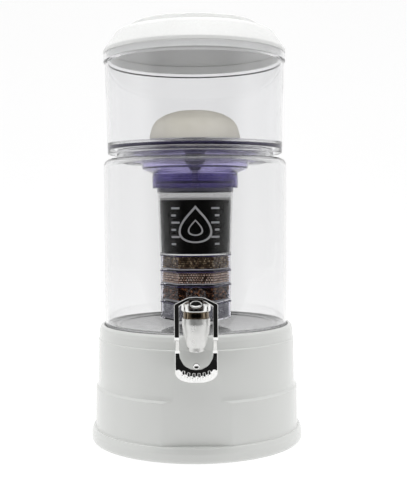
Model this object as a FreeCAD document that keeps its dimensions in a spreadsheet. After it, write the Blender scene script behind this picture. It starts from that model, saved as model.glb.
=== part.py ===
import FreeCAD, Part
import math
import os

import Sketcher

# Countertop gravity water filter with a push-lever tap.
# Millimetres, +Z up.  The origin is on the tanks' common axis, on the plane the stand rests on.
# The tap faces -Y.

doc = FreeCAD.newDocument("gravity_water_filter")

# ---------------------------------------------------------------------------
# driving dimensions
# ---------------------------------------------------------------------------
SIZES = [
    # stand: an open-bottomed shell with a rolled top rim and a deck for the tank
    ("foot_radius", 144.1), ("foot_edge_radius", 142.6), ("foot_round", 3.0), ("foot_straight", 12.0),
    ("foot_top", 18.9), ("foot_top_radius", 141.4), ("band_low_bottom", 20.6), ("band_low_radius", 138.6),
    ("band_low_top", 73.0), ("band_low_top_radius", 137.9), ("band_up_bottom", 80.6), ("band_up_radius", 134.4),
    ("band_up_top", 138.6), ("band_up_top_radius", 133.5), ("rim_line", 140.2), ("rim_line_radius", 132.7),
    ("rim_top", 157.0), ("rim_radius", 132.2), ("rim_round", 5.0), ("rim_mouth_radius", 125.7), ("rim_mouth_round", 1.6),
    ("deck_top", 151.0), ("deck_thick", 3.0), ("deck_radius", 125.4), ("ledge_thick", 2.4), ("ledge_radius", 121.0), ("brace_ring", 36.0), ("stand_wall", 3.0), ("front_flat", 131.25), ("stand_rib_thick", 2.4),
    # lower tank
    ("tank_radius", 124.3), ("tank_wall", 3.5), ("tank_bottom", 151.0), ("tank_floor", 156.0), ("tank_top", 381.0),
    ("neck_radius", 98.4), ("neck_thick", 3.8), ("tank_shoulder_round", 10.0), ("tank_inner_shoulder", 6.4),
    ("tank_foot_round", 6.0), ("tank_floor_round", 5.0),
    # upper tank
    ("upper_bottom", 387.0), ("upper_bottom_radius", 118.5), ("upper_low_z", 398.0), ("upper_low_radius", 118.9),
    ("upper_neck_z", 505.2), ("upper_neck_radius", 121.2), ("upper_rim_low", 511.2), ("upper_rim_radius", 123.3),
    ("upper_rim_top", 521.3), ("upper_mouth_radius", 118.3), ("upper_inner_low_radius", 115.5),
    ("upper_floor_top", 397.5), ("upper_floor_bottom", 393.5), ("upper_floor_round", 5.0), ("stem_hole_radius", 7.7),
    ("spigot_outer", 97.4), ("spigot_inner", 94.4), ("spigot_bottom", 374.6), ("foot_ring_inner", 103.0),
    ("foot_ring_outer", 106.5), ("skirt_inner", 115.3),
    # lid
    ("lid_radius", 123.4), ("lid_bottom", 521.3), ("lid_edge_top", 525.8), ("lid_shoulder_radius", 105.5),
    ("lid_shoulder_top", 551.5), ("lid_step_radius", 88.0), ("lid_step_bottom", 553.2), ("lid_plateau_radius", 86.0),
    ("lid_plateau_edge", 561.2), ("lid_crown", 562.0), ("lid_wall", 2.6), ("lid_lip_outer", 117.2),
    ("lid_lip_inner", 114.8), ("lid_lip_bottom", 513.5), ("lid_shoulder_round", 14.0), ("lid_edge_round", 4.0),
    ("lid_plateau_round", 2.6), ("lid_step_round", 1.6),
    # ceramic dome and its fittings
    ("dome_radius", 61.8), ("dome_bottom", 403.0), ("dome_straight", 409.0), ("dome_wall", 8.0),
    ("dome_base_radius", 60.2), ("dome_base_bottom", 399.5), ("dome_base_rim", 406.0), ("dome_base_bore_radius", 7.0),
    ("washer_radius", 16.0), ("washer_low_radius", 13.5), ("washer_low_bottom", 388.4),
    ("stem_radius", 7.6), ("stem_bore", 2.6), ("stem_top", 407.0), ("stem_step", 376.0), ("drip_radius", 4.0), ("drip_end", 345.5),
    ("nut_radius", 13.4), ("nut_bottom", 374.2), ("nut_tip_radius", 6.5), ("nut_tip", 365.0), ("nut_corner_radius", 15.4), ("nut_hex_bottom", 381.0),
    # funnel-shaped mounting ring under the upper tank
    ("ring_top", 393.5), ("ring_plate_bottom", 390.2), ("ring_radius", 94.0), ("ring_skirt_radius", 87.4), ("ring_skirt_low", 383.0),
    ("ring_skirt_low_radius", 85.8), ("ring_neck_top", 374.6), ("ring_neck_radius", 73.2), ("ring_lip", 367.2), ("ring_lip_radius", 71.7),
    ("ring_cone_low", 361.4), ("ring_cone_radius", 58.2), ("ring_collar_top", 359.6), ("ring_collar_radius", 55.4),
    ("ring_collar_bottom", 350.0), ("ring_collar_bore", 51.6), ("ring_hole_radius", 7.8), ("ring_thread_depth", 0.9),
    # cartridge
    ("cap_radius", 58.6), ("cap_bottom", 341.0), ("cap_top", 359.3), ("cap_bore", 55.7), ("cap_lip_top", 344.0), ("cap_lip_bore", 52.1),
    ("housing_top_radius", 52.0), ("housing_top_bore", 49.9), ("housing_flange_radius", 55.4), ("housing_flange_top", 346.5),
    ("housing_bottom", 251.1), ("housing_bottom_radius", 49.0), ("housing_floor", 253.2), ("housing_bottom_bore", 47.0),
    ("housing_port_radius", 3.2), ("housing_port_circle", 28.0),
    ("seal_top", 349.8), ("seal_bore", 50.2), ("seal_radius", 55.2),
    ("pad_low", 325.0), ("pad_top", 328.0), ("pad_radius", 49.1), ("carbon_low_radius", 46.9), ("carbon_top_radius", 49.0),
    ("stage_corner", 48.5), ("stage_rim_corner", 49.5), ("stage_bore_corner", 46.3), ("stage_floor", 1.8), ("stage_rim", 1.8),
    ("media_corner", 46.1), ("felt_thick", 1.4), ("media_gap", 0.4),
    ("stage_a_low", 229.7), ("stage_b_low", 210.2), ("stage_c_low", 187.1), ("stage_d_low", 163.0), ("outlet_port", 2.2), ("outlet_circle", 26.0),
    # tap
    ("tap_reach", 179.0), ("shank_height", 175.0), ("shank_radius", 8.0), ("shank_bore", 5.4), ("shank_end", 104.0),
    ("wall_hole_radius", 8.3), ("flange_radius", 15.2), ("flange_back", 133.0), ("flange_front", 137.0),
    ("gasket_radius", 14.4), ("inner_gasket_face", 117.4), ("tap_nut_corner", 15.2), ("tap_nut_end", 109.4),
    ("barrel_top", 185.3), ("barrel_top_radius", 16.6), ("barrel_wide_z", 178.5), ("barrel_wide_radius", 16.9),
    ("barrel_mid_z", 168.0), ("barrel_mid_radius", 15.5), ("barrel_low_z", 158.0), ("barrel_low_radius", 13.1),
    ("barrel_end", 150.6), ("barrel_end_radius", 10.9), ("spout_radius", 8.8), ("spout_end", 145.5), ("spout_bore", 7.0),
    ("seat_top", 166.0), ("seat_bottom", 162.0), ("seat_bore", 5.0), ("chamber_radius", 12.0),
    ("collar_radius", 15.8), ("collar_top", 193.7), ("bonnet_radius", 17.4), ("bonnet_top", 203.6), ("bonnet_round", 2.6),
    ("bonnet_slot", 8.6), ("slot_floor", 195.8), ("spigot_low", 179.0), ("spring_room", 8.2), ("spring_room_top", 190.0), ("stem_guide", 3.08),
    ("pin_forward", 188.0), ("pin_height", 200.5), ("pin_radius", 1.9), ("pin_half", 13.6), ("pin_clear", 0.08),
    ("rod_radius", 3.0), ("rod_head_radius", 6.5), ("rod_head_low", 203.5), ("rod_head_top", 206.3),
    ("rod_disc_radius", 7.0), ("rod_disc_low", 169.0), ("rod_disc_top", 173.4), ("valve_seal_low", 166.06), ("valve_seal_radius", 7.2),
    ("spring_mean", 5.6), ("spring_wire", 0.65), ("spring_low", 174.2), ("spring_high", 189.2), ("spring_pitch", 3.0),
    # lever
    ("loop_half", 25.6), ("arm_width", 6.0), ("loop_corner_z", 203.4), ("loop_crown_z", 211.3), ("loop_crown_half", 9.2), ("loop_bar", 4.4),
    ("loop_bottom", 104.2), ("loop_bottom_corner", 112.5), ("window_bottom", 120.8), ("window_side", 134.0), ("loop_plate", 4.6),
    ("loop_front", 190.6), ("bend_top", 162.0), ("bend_bottom", 142.4), ("paddle_front", 161.2), ("hub_half", 8.25), ("hub_front", 198.4), ("hub_back", 184.4),
    ("hub_low", 198.0), ("hub_top", 209.6), ("hub_boss", 4.0), ("tine_in", 3.9), ("tine_out", 7.9), ("tine_low", 199.0), ("tine_top", 202.5),
    ("finger_radius", 2.0), ("finger_height", 201.2), ("tab_radius", 4.0), ("tab_height", 124.6),
    ("button_half_wide", 7.3), ("button_half_high", 4.3), ("button_height", 203.3), ("button_thick", 1.5),
]

dims = doc.addObject("Spreadsheet::Sheet", "dims")
value = {}
for row, (alias, number) in enumerate(SIZES, 1):
    dims.set("A%d" % row, alias)
    dims.set("B%d" % row, str(number))
    dims.setAlias("B%d" % row, alias)
    value[alias] = float(number)
doc.recompute()


def num(text):
    """The value of a sum such as 'tank_radius - tank_wall', in millimetres."""
    total, sign = 0.0, 1.0
    for word in str(text).split():
        if word == "+":
            sign = 1.0
        elif word == "-":
            sign = -1.0
        else:
            total += sign * (value[word] if word in value else float(word))
    return total


def cell(text):
    """The same sum as an expression on the sheet's cells."""
    return " ".join("dims." + w if w in value else w for w in str(text).split())


def bind(obj, prop, text):
    obj.setExpression(prop, cell(text))


def plane(body, role):
    for feature in body.Origin.OriginFeatures:
        if feature.Role == role:
            return feature
    raise ValueError(role)


def sketch_on(body, role, name):
    sk = body.newObject("Sketcher::SketchObject", name)
    sk.AttachmentSupport = [(plane(body, role), "")]
    sk.MapMode = "FlatFace"
    return sk


def at(sk, geo, pos, axis, text):
    """Hold a vertex at a distance from the sketch's origin, or on the axis when that distance is zero."""
    number = num(text)
    if abs(number) < 1e-9:
        sk.addConstraint(Sketcher.Constraint("PointOnObject", geo, pos, -2 if axis == "X" else -1))
        return
    if number > 0:
        index = sk.addConstraint(Sketcher.Constraint("Distance" + axis, -1, 1, geo, pos, number))
        sk.setExpression("Constraints[%d]" % index, cell(text))
    else:
        index = sk.addConstraint(Sketcher.Constraint("Distance" + axis, geo, pos, -1, 1, -number))
        flipped = " ".join({"+": "-", "-": "+"}.get(w, w) for w in str(text).split())
        sk.setExpression("Constraints[%d]" % index, cell("0 - " + flipped))


def outline(sk, points):
    """A closed outline of straight runs whose corners are held by the sheet."""
    spots = [FreeCAD.Vector(num(x), num(y), 0) for x, y in points]
    count = len(spots)
    first = sk.GeometryCount
    for i in range(count):
        sk.addGeometry(Part.LineSegment(spots[i], spots[(i + 1) % count]), False)
    for i in range(count):
        sk.addConstraint(Sketcher.Constraint("Coincident", first + i, 2, first + (i + 1) % count, 1))
    for i, (x, y) in enumerate(points):
        at(sk, first + i, 1, "X", x)
        at(sk, first + i, 1, "Y", y)


def round_edges(body, base, rounds, name):
    """Round the circular edges that stand at the given radius and height."""
    done = base
    for k, (radius, height, size) in enumerate(rounds):
        doc.recompute()
        names = []
        for i, edge in enumerate(done.Shape.Edges, 1):
            curve = edge.Curve
            if not isinstance(curve, Part.Circle):
                continue
            if abs(curve.Radius - num(radius)) < 0.02 and abs(curve.Center.z - num(height)) < 0.02:
                names.append("Edge%d" % i)
        if not names:
            raise ValueError("no edge for %s at %s %s" % (name, radius, height))
        fillet = body.newObject("PartDesign::Fillet", "%s_round%d" % (name, k))
        fillet.Base = (done, names)
        fillet.Radius = num(size)
        bind(fillet, "Radius", size)
        done = fillet
        body.Tip = done
    doc.recompute()
    return done


def turned(name, points, rounds=()):
    """A body of revolution about Z from an outline in the XZ plane."""
    body = doc.addObject("PartDesign::Body", name)
    sk = sketch_on(body, "XZ_Plane", name + "_outline")
    outline(sk, points)
    doc.recompute()
    turn = body.newObject("PartDesign::Revolution", name + "_turn")
    turn.Profile = sk
    turn.ReferenceAxis = (sk, ["V_Axis"])
    turn.Angle = 360
    body.Tip = turn
    doc.recompute()
    round_edges(body, turn, rounds, name)
    sk.Visibility = False
    return body


def cylinder(name, radius, low, high, where=(0, 0), along="Z"):
    """A round bar between two levels along an axis, as a primitive bound to the sheet."""
    bar = doc.addObject("Part::Cylinder", name)
    bind(bar, "Radius", radius)
    bind(bar, "Height", "%s - %s" % (high, low) if " " not in low else high)
    a, b = where
    start = num(low)
    if along == "Z":
        bar.Placement = FreeCAD.Placement(FreeCAD.Vector(a, b, start), FreeCAD.Rotation())
    elif along == "Y":
        bar.Placement = FreeCAD.Placement(FreeCAD.Vector(a, start, b), FreeCAD.Rotation(FreeCAD.Vector(1, 0, 0), -90))
    else:
        bar.Placement = FreeCAD.Placement(FreeCAD.Vector(start, a, b), FreeCAD.Rotation(FreeCAD.Vector(0, 1, 0), 90))
    return bar


def hexagon(name, corner, low, high):
    """An upright hexagonal prism with a flat towards -Y."""
    bar = doc.addObject("Part::Prism", name)
    bar.Polygon = 6
    bind(bar, "Circumradius", corner)
    bind(bar, "Height", "%s - %s" % (high, low))
    bar.Placement = FreeCAD.Placement(FreeCAD.Vector(0, 0, num(low)), FreeCAD.Rotation())
    bind(bar, "Placement.Base.z", low)
    return bar


def block(name, low, high):
    """A rectangular block between two corners; each coordinate is a sum on the sheet's cells."""
    bar = doc.addObject("Part::Box", name)
    for prop, a, b in zip(("Length", "Width", "Height"), low, high):
        bar.setExpression(prop, "(%s) - (%s)" % (cell(b), cell(a)))
    for axis, a in zip("xyz", low):
        bar.setExpression("Placement.Base." + axis, cell(a))
    return bar


def cut(name, base, tools):
    result = base
    for i, tool in enumerate(tools):
        step = doc.addObject("Part::Cut", name if i == len(tools) - 1 else "%s_cut%d" % (name, i))
        step.Base, step.Tool = result, tool
        result = step
    return result


def fuse(name, shapes):
    result = doc.addObject("Part::MultiFuse", name)
    result.Shapes = shapes
    result.Refine = True
    return result


def common(name, a, b):
    result = doc.addObject("Part::Common", name)
    result.Base, result.Tool = a, b
    return result


nodes = []


def node(obj, label=None):
    obj.Label = label or obj.Name
    nodes.append(obj)
    return obj


# ---------------------------------------------------------------------------
# stand: outer shell with its front planed flat between the foot and the rim line, then hollowed from below
# ---------------------------------------------------------------------------
shell_out = turned("stand_outer", [
    ("0", "0"), ("foot_edge_radius", "0"), ("foot_radius", "foot_round"), ("foot_radius", "foot_straight"),
    ("foot_top_radius", "foot_top"), ("band_low_radius", "band_low_bottom"), ("band_low_top_radius", "band_low_top - 1.6"),
    ("band_low_top_radius - 0.9", "band_low_top + 1.4"),
    ("band_up_radius", "band_up_bottom"), ("band_up_top_radius", "band_up_top"), ("rim_line_radius", "rim_line"),
    ("rim_radius", "rim_top"), ("rim_mouth_radius", "rim_top"), ("rim_mouth_radius", "deck_top - deck_thick"),
    ("ledge_radius", "deck_top - deck_thick"), ("ledge_radius", "deck_top - deck_thick - ledge_thick"), ("0", "deck_top - deck_thick - ledge_thick"),
], [("rim_radius", "rim_top", "rim_round"), ("rim_mouth_radius", "rim_top", "rim_mouth_round"),
    ("foot_radius", "foot_straight", "foot_round")])
shell_in = turned("stand_hollow", [
    ("0", "0 - 1"), ("foot_edge_radius - stand_wall", "0 - 1"), ("foot_radius - stand_wall", "foot_round"), ("foot_radius - stand_wall", "foot_straight - 1"),
    ("foot_top_radius - stand_wall", "foot_top - 2"), ("band_low_radius - stand_wall", "band_low_bottom - 1"), ("band_low_top_radius - stand_wall", "band_low_top - 1"),
    ("band_up_radius - stand_wall", "band_up_bottom - 1"), ("band_up_top_radius - stand_wall", "band_up_top"),
    ("rim_line_radius - stand_wall", "rim_line"), ("rim_line_radius - stand_wall - 0.4", "deck_top - deck_thick - ledge_thick"),
    ("0", "deck_top - deck_thick - ledge_thick"),
])
plane_out = block("stand_front_plane", ("0 - 60", "0 - 160", "foot_top"), ("60", "0 - front_flat", "band_up_top"))
plane_in = block("stand_hollow_plane", ("0 - 60", "0 - 160", "0 - 2"), ("60", "stand_wall - front_flat", "rim_top"))
shell_flat = cut("stand_outer_flat", shell_out, [plane_out])
hollow_flat = cut("stand_hollow_flat", shell_in, [plane_in])
node(cut("base_stand", shell_flat, [hollow_flat]))

# the deck is a plate laid on the shell's ledge
node(turned("stand_deck", [
    ("0", "deck_top - deck_thick"), ("deck_radius", "deck_top - deck_thick"), ("deck_radius", "deck_top"), ("0", "deck_top"),
]))

# a star-shaped brace under the deck carries the full tank: a ring with eight radial ribs that reach under the ledge
brace_low, brace_top = "deck_top - deck_thick - 20", "deck_top - deck_thick"
brace_field = turned("brace_field", [
    ("brace_ring - 3", brace_top), ("brace_ring - 3", brace_low), ("60", "deck_top - 26"), ("127.4", "deck_top - 16"),
    ("127.4", "deck_top - deck_thick - ledge_thick"), ("ledge_radius - 0.3", "deck_top - deck_thick - ledge_thick"), ("ledge_radius - 0.3", brace_top),
])
brace_parts = [turned("brace_hub", [
    ("brace_ring - 3", brace_top), ("brace_ring - 3", brace_low), ("brace_ring", brace_low), ("brace_ring", brace_top),
])]
for i in range(8):
    turn = FreeCAD.Rotation(FreeCAD.Vector(0, 0, 1), 22.5 + 45 * i)
    rib = doc.addObject("Part::Box", "brace_rib_%d" % i)
    bind(rib, "Length", "rim_mouth_radius + 4 - brace_ring")
    bind(rib, "Width", "stand_rib_thick")
    bind(rib, "Height", "30")
    rib.Placement = FreeCAD.Placement(turn.multVec(FreeCAD.Vector(num("brace_ring") - 1.5, -num("stand_rib_thick") / 2, num("deck_top - 31"))), turn)
    brace_parts.append(rib)
brace_star = doc.addObject("Part::MultiFuse", "brace_star")
brace_star.Shapes = brace_parts
node(common("stand_brace", brace_field, brace_star))

# ---------------------------------------------------------------------------
# lower tank
# ---------------------------------------------------------------------------
tank_full = turned("tank_shell", [
    ("0", "tank_bottom"), ("tank_radius", "tank_bottom"), ("tank_radius", "tank_top"), ("neck_radius", "tank_top"),
    ("neck_radius", "tank_top - neck_thick"), ("tank_radius - tank_wall", "tank_top - neck_thick"),
    ("tank_radius - tank_wall", "tank_floor"), ("0", "tank_floor"),
], [("tank_radius", "tank_bottom", "tank_foot_round"), ("tank_radius", "tank_top", "tank_shoulder_round"),
    ("tank_radius - tank_wall", "tank_top - neck_thick", "tank_inner_shoulder"),
    ("tank_radius - tank_wall", "tank_floor", "tank_floor_round"),
    ("neck_radius", "tank_top", "1.2")])
wall_hole = cylinder("tank_wall_hole", "wall_hole_radius", "0 - 140", "40", (0, num("shank_height")), "Y")
node(cut("lower_tank", tank_full, [wall_hole]))

# ---------------------------------------------------------------------------
# upper tank: bowl, drip skirt, foot ring that stands on the lower tank, spigot that drops into its neck
# ---------------------------------------------------------------------------
node(turned("upper_tank", [
    ("stem_hole_radius", "upper_floor_bottom"), ("spigot_inner", "upper_floor_bottom"), ("spigot_inner", "spigot_bottom"),
    ("spigot_outer", "spigot_bottom"), ("spigot_outer", "upper_floor_bottom"), ("foot_ring_inner", "upper_floor_bottom"),
    ("foot_ring_inner", "tank_top"), ("foot_ring_outer", "tank_top"), ("foot_ring_outer", "upper_floor_bottom"),
    ("skirt_inner", "upper_floor_bottom"), ("skirt_inner", "upper_bottom"), ("upper_bottom_radius", "upper_bottom"),
    ("upper_low_radius", "upper_low_z"), ("upper_neck_radius", "upper_neck_z"), ("upper_rim_radius", "upper_rim_low"),
    ("upper_rim_radius", "upper_rim_top"), ("upper_mouth_radius", "upper_rim_top"),
    ("upper_inner_low_radius", "upper_floor_top"), ("stem_hole_radius", "upper_floor_top"),
], [("upper_rim_radius", "upper_rim_top", "1.2"), ("upper_rim_radius", "upper_rim_low", "2.4"),
    ("upper_neck_radius", "upper_neck_z", "4"), ("upper_inner_low_radius", "upper_floor_top", "upper_floor_round"),
    ("upper_bottom_radius", "upper_bottom", "2.2")]))

# ---------------------------------------------------------------------------
# lid: thin shell with a raised plateau and a lip that drops into the mouth
# ---------------------------------------------------------------------------
node(turned("lid", [
    ("lid_lip_outer", "lid_bottom"), ("lid_radius", "lid_bottom"), ("lid_radius", "lid_edge_top"),
    ("lid_shoulder_radius", "lid_shoulder_top"), ("lid_step_radius", "lid_step_bottom"),
    ("lid_plateau_radius", "lid_plateau_edge"), ("0", "lid_crown"), ("0", "lid_crown - lid_wall"),
    ("lid_plateau_radius - lid_wall", "lid_plateau_edge - lid_wall"), ("lid_step_radius - lid_wall", "lid_step_bottom - lid_wall"),
    ("lid_shoulder_radius - 1.6", "lid_shoulder_top - lid_wall"), ("lid_radius - 4.2", "lid_bottom + lid_wall"),
    ("lid_lip_inner", "lid_bottom + lid_wall"), ("lid_lip_inner", "lid_lip_bottom"), ("lid_lip_outer", "lid_lip_bottom"),
], [("lid_shoulder_radius", "lid_shoulder_top", "lid_shoulder_round"), ("lid_radius", "lid_edge_top", "lid_edge_round"),
    ("lid_plateau_radius", "lid_plateau_edge", "lid_plateau_round"), ("lid_step_radius", "lid_step_bottom", "lid_step_round"),
    ("lid_shoulder_radius - 1.6", "lid_shoulder_top - lid_wall", "lid_shoulder_round - lid_wall")]))

# ---------------------------------------------------------------------------
# ceramic dome on its moulded base, held by a hollow stem through the tank floor
# ---------------------------------------------------------------------------
node(turned("ceramic_dome", [
    ("dome_radius", "dome_bottom"), ("dome_radius", "dome_straight"), ("58.4", "423.0"), ("52.4", "432.0"),
    ("40.0", "439.6"), ("24.0", "444.6"), ("0", "446.2"), ("0", "446.2 - dome_wall"), ("22.0", "444.8 - dome_wall"),
    ("35.6", "440.4 - dome_wall"), ("45.6", "434.0 - dome_wall"), ("50.6", "426.0 - dome_wall"),
    ("dome_radius - dome_wall", "dome_straight"), ("dome_radius - dome_wall", "dome_bottom"),
], [("58.4", "423.0", "16"), ("52.4", "432.0", "16"), ("40.0", "439.6", "24"), ("24.0", "444.6", "60")]))
node(turned("dome_base", [
    ("stem_radius", "dome_base_bottom"), ("dome_base_radius", "dome_base_bottom"), ("dome_radius - 0.4", "dome_bottom"),
    ("dome_radius - dome_wall - 0.1", "dome_bottom"), ("dome_radius - dome_wall - 0.1", "dome_base_rim"),
    ("dome_radius - dome_wall - 2.6", "dome_base_rim"), ("dome_radius - dome_wall - 2.6", "dome_bottom"),
    ("stem_radius", "dome_bottom"),
]))
node(turned("dome_stem", [
    ("stem_bore", "drip_end"), ("drip_radius", "drip_end"), ("drip_radius", "stem_step"), ("stem_radius", "stem_step"),
    ("stem_radius", "dome_bottom"), ("11", "dome_bottom"), ("11", "stem_top - 1"), ("10", "stem_top"), ("stem_bore", "stem_top"),
]))
node(turned("dome_washer", [
    ("stem_radius", "upper_floor_top"), ("washer_radius", "upper_floor_top"), ("washer_radius", "dome_base_bottom"), ("stem_radius", "dome_base_bottom"),
]))
node(turned("floor_washer", [
    ("stem_radius", "washer_low_bottom"), ("washer_low_radius", "washer_low_bottom"), ("washer_low_radius", "ring_plate_bottom"), ("stem_radius", "ring_plate_bottom"),
]))
nut_turned = turned("nut_turned", [
    ("drip_radius + 0.1", "nut_tip"), ("nut_tip_radius", "nut_tip"), ("nut_radius", "nut_bottom"), ("nut_radius", "washer_low_bottom"),
    ("stem_radius", "washer_low_bottom"), ("stem_radius", "stem_step"), ("drip_radius + 0.1", "stem_step"),
])
nut_hex = hexagon("nut_hex", "nut_corner_radius", "nut_hex_bottom", "washer_low_bottom - 0.6 + 0.6")
nut_hex.setExpression("Height", "dims.washer_low_bottom - dims.nut_hex_bottom - 0.6")
nut_core = cylinder("nut_core", "nut_radius - 0.5", "nut_hex_bottom - 5", "20", (0, 0), "Z")
nut_ring = cut("nut_hex_ring", nut_hex, [nut_core])
node(fuse("stem_nut", [nut_turned, nut_ring]))

# ---------------------------------------------------------------------------
# mounting ring: plate under the tank floor, funnel, and a threaded collar for the cartridge cap
# ---------------------------------------------------------------------------
collar_thread = []
for i in range(3):
    z_low = num("ring_collar_bottom") + 1.2 + 2.9 * i
    collar_thread += [("ring_collar_radius", "ring_collar_bottom + %.1f" % (1.2 + 2.9 * i)),
                      ("ring_collar_radius - ring_thread_depth", "ring_collar_bottom + %.1f" % (2.0 + 2.9 * i)),
                      ("ring_collar_radius", "ring_collar_bottom + %.1f" % (2.8 + 2.9 * i))]
node(turned("mount_ring", [
    ("ring_hole_radius", "ring_plate_bottom"), ("ring_hole_radius", "ring_top"), ("ring_radius", "ring_top"),
    ("ring_radius", "ring_plate_bottom"), ("ring_skirt_radius", "ring_plate_bottom - 0.4"), ("ring_skirt_low_radius", "ring_skirt_low"),
    ("ring_neck_radius", "ring_neck_top"), ("ring_lip_radius", "ring_lip"), ("ring_cone_radius", "ring_cone_low"),
    ("ring_cone_radius", "ring_collar_top"), ("ring_collar_radius", "ring_collar_top")]
    + collar_thread[::-1] + [
    ("ring_collar_radius", "ring_collar_bottom"), ("ring_collar_bore", "ring_collar_bottom"),
    ("ring_collar_bore", "ring_cone_low + 1.6"), ("ring_lip_radius - 3.0", "ring_lip + 2.6"), ("ring_neck_radius - 2.8", "ring_neck_top + 1.4"),
    ("ring_skirt_low_radius - 2.6", "ring_skirt_low + 1.6"), ("ring_skirt_radius - 2.6", "ring_plate_bottom"),
]))

# ---------------------------------------------------------------------------
# cartridge
# ---------------------------------------------------------------------------
cap_blank = turned("cap_blank", [
    ("cap_lip_bore", "cap_bottom"), ("cap_radius", "cap_bottom"), ("cap_radius", "cap_top"), ("cap_bore", "cap_top"),
    ("cap_bore", "cap_lip_top"), ("cap_lip_bore", "cap_lip_top"),
], [("cap_radius", "cap_bottom", "0.8"), ("cap_radius", "cap_top", "0.6")])
node(cap_blank, "cartridge_cap")
node(turned("cap_seal", [
    ("seal_bore", "housing_flange_top"), ("seal_radius", "housing_flange_top"), ("seal_radius", "seal_top"), ("seal_bore", "seal_top"),
], [("seal_radius", "seal_top", "0.8"), ("seal_bore", "seal_top", "0.8")]))

# clear round housing with a perforated floor
housing = turned("cartridge_housing", [
    ("0", "housing_bottom"), ("housing_bottom_radius", "housing_bottom"), ("housing_top_radius", "cap_lip_top"),
    ("housing_flange_radius", "cap_lip_top"), ("housing_flange_radius", "housing_flange_top"), ("housing_top_bore", "housing_flange_top"),
    ("housing_bottom_bore", "housing_floor"), ("0", "housing_floor"),
])
port_sketch = sketch_on(housing, "XY_Plane", "housing_port_outline")
port_index = port_sketch.addGeometry(Part.Circle(FreeCAD.Vector(num("housing_port_circle"), 0, 0), FreeCAD.Vector(0, 0, 1), num("housing_port_radius")), False)
index = port_sketch.addConstraint(Sketcher.Constraint("Radius", port_index, num("housing_port_radius")))
port_sketch.setExpression("Constraints[%d]" % index, cell("housing_port_radius"))
at(port_sketch, port_index, 3, "X", "housing_port_circle")
at(port_sketch, port_index, 3, "Y", "0")
doc.recompute()
before = housing.Shape.Volume
ports = housing.newObject("PartDesign::Pocket", "housing_ports")
ports.Profile = port_sketch
ports.Type = "Length"
ports.Reversed = True
ports.Length = num("housing_floor + 1")
bind(ports, "Length", "housing_floor + 1")
housing.Tip = ports
doc.recompute()
assert housing.Shape.Volume < before - 10, "the floor port did not cut"
port_row = housing.newObject("PartDesign::PolarPattern", "housing_port_row")
port_row.Originals = [ports]
port_row.Axis = (port_sketch, ["N_Axis"])
port_row.Angle = 360
port_row.Occurrences = 8
housing.Tip = port_row
doc.recompute()
node(housing)
node(turned("top_pad", [
    ("0", "pad_low"), ("pad_radius - 0.1", "pad_low"), ("pad_radius", "pad_top"), ("0", "pad_top"),
]))
node(turned("carbon_fill", [
    ("0", "housing_floor"), ("carbon_low_radius", "housing_floor"), ("carbon_top_radius", "pad_low"), ("0", "pad_low"),
]))

# four hexagonal stages, each a tray with a rim, a felt and its filling
levels = ["stage_a_low", "stage_b_low", "stage_c_low", "stage_d_low"]
tops = ["housing_bottom"] + levels[:3]
letters = "abcd"
fillings = ["zeolite_fill", "ceramic_balls", "mineral_fill", "quartz_fill"]
for i, low in enumerate(levels):
    top = tops[i]
    tag = letters[i]
    outer = hexagon("tray_%s_outer" % tag, "stage_corner", low, top)
    rim = hexagon("tray_%s_rim" % tag, "stage_rim_corner", top, top)
    rim.setExpression("Height", "dims.stage_rim")
    rim.setExpression("Placement.Base.z", cell(top + " - stage_rim"))
    rim.Placement.Base.z = num(top + " - stage_rim")
    bore = hexagon("tray_%s_bore" % tag, "stage_bore_corner", low, top)
    bore.setExpression("Height", cell("%s - %s - stage_floor + 1" % (top, low)))
    bore.setExpression("Placement.Base.z", cell(low + " + stage_floor"))
    walls = fuse("tray_%s_walls" % tag, [outer, rim])
    drills = []
    for k in range(6):
        angle = math.radians(60 * k + 30)
        drill = cylinder("tray_%s_port%d" % (tag, k), "outlet_port", low + " - 1", "4",
                         (num("outlet_circle") * math.cos(angle), num("outlet_circle") * math.sin(angle)), "Z")
        drills.append(drill)
    node(cut("stage_tray_" + tag, walls, [bore] + drills))
    felt = hexagon("stage_felt_" + tag, "media_corner", low, top)
    felt.setExpression("Height", "dims.felt_thick")
    felt.setExpression("Placement.Base.z", cell(low + " + stage_floor"))
    node(felt)
    fill = hexagon(fillings[i], "media_corner", low, top)
    fill.setExpression("Height", cell("%s - %s - stage_floor - felt_thick - media_gap" % (top, low)))
    fill.setExpression("Placement.Base.z", cell(low + " + stage_floor + felt_thick"))
    node(fill)

# ---------------------------------------------------------------------------
# tap: barrel and shank in one casting
# ---------------------------------------------------------------------------
tap_place = FreeCAD.Placement(FreeCAD.Vector(0, -num("tap_reach"), 0), FreeCAD.Rotation())
barrel = turned("tap_barrel", [
    ("0", "spout_end"), ("spout_radius - 0.5", "spout_end"), ("spout_radius", "spout_end + 0.8"), ("spout_radius", "barrel_end"),
    ("barrel_end_radius - 0.6", "barrel_end"), ("barrel_end_radius", "barrel_end + 0.8"), ("barrel_low_radius", "barrel_low_z"),
    ("barrel_mid_radius", "barrel_mid_z"), ("barrel_wide_radius", "barrel_wide_z"), ("barrel_top_radius", "barrel_top"), ("0", "barrel_top"),
])
barrel.Placement = tap_place
shank = cylinder("tap_shank", "shank_radius", "0 - tap_reach", "tap_reach - shank_end", (0, num("shank_height")), "Y")
flange = cylinder("tap_flange", "flange_radius", "0 - flange_front", "flange_front - flange_back", (0, num("shank_height")), "Y")
neck = doc.addObject("Part::Cone", "tap_neck")
bind(neck, "Radius1", "shank_radius + 1.9")
bind(neck, "Radius2", "shank_radius + 1.2")
bind(neck, "Height", "tap_reach - flange_front - 9")
neck.Placement = FreeCAD.Placement(FreeCAD.Vector(0, -num("tap_reach") + 9, num("shank_height")), FreeCAD.Rotation(FreeCAD.Vector(1, 0, 0), -90))
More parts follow.
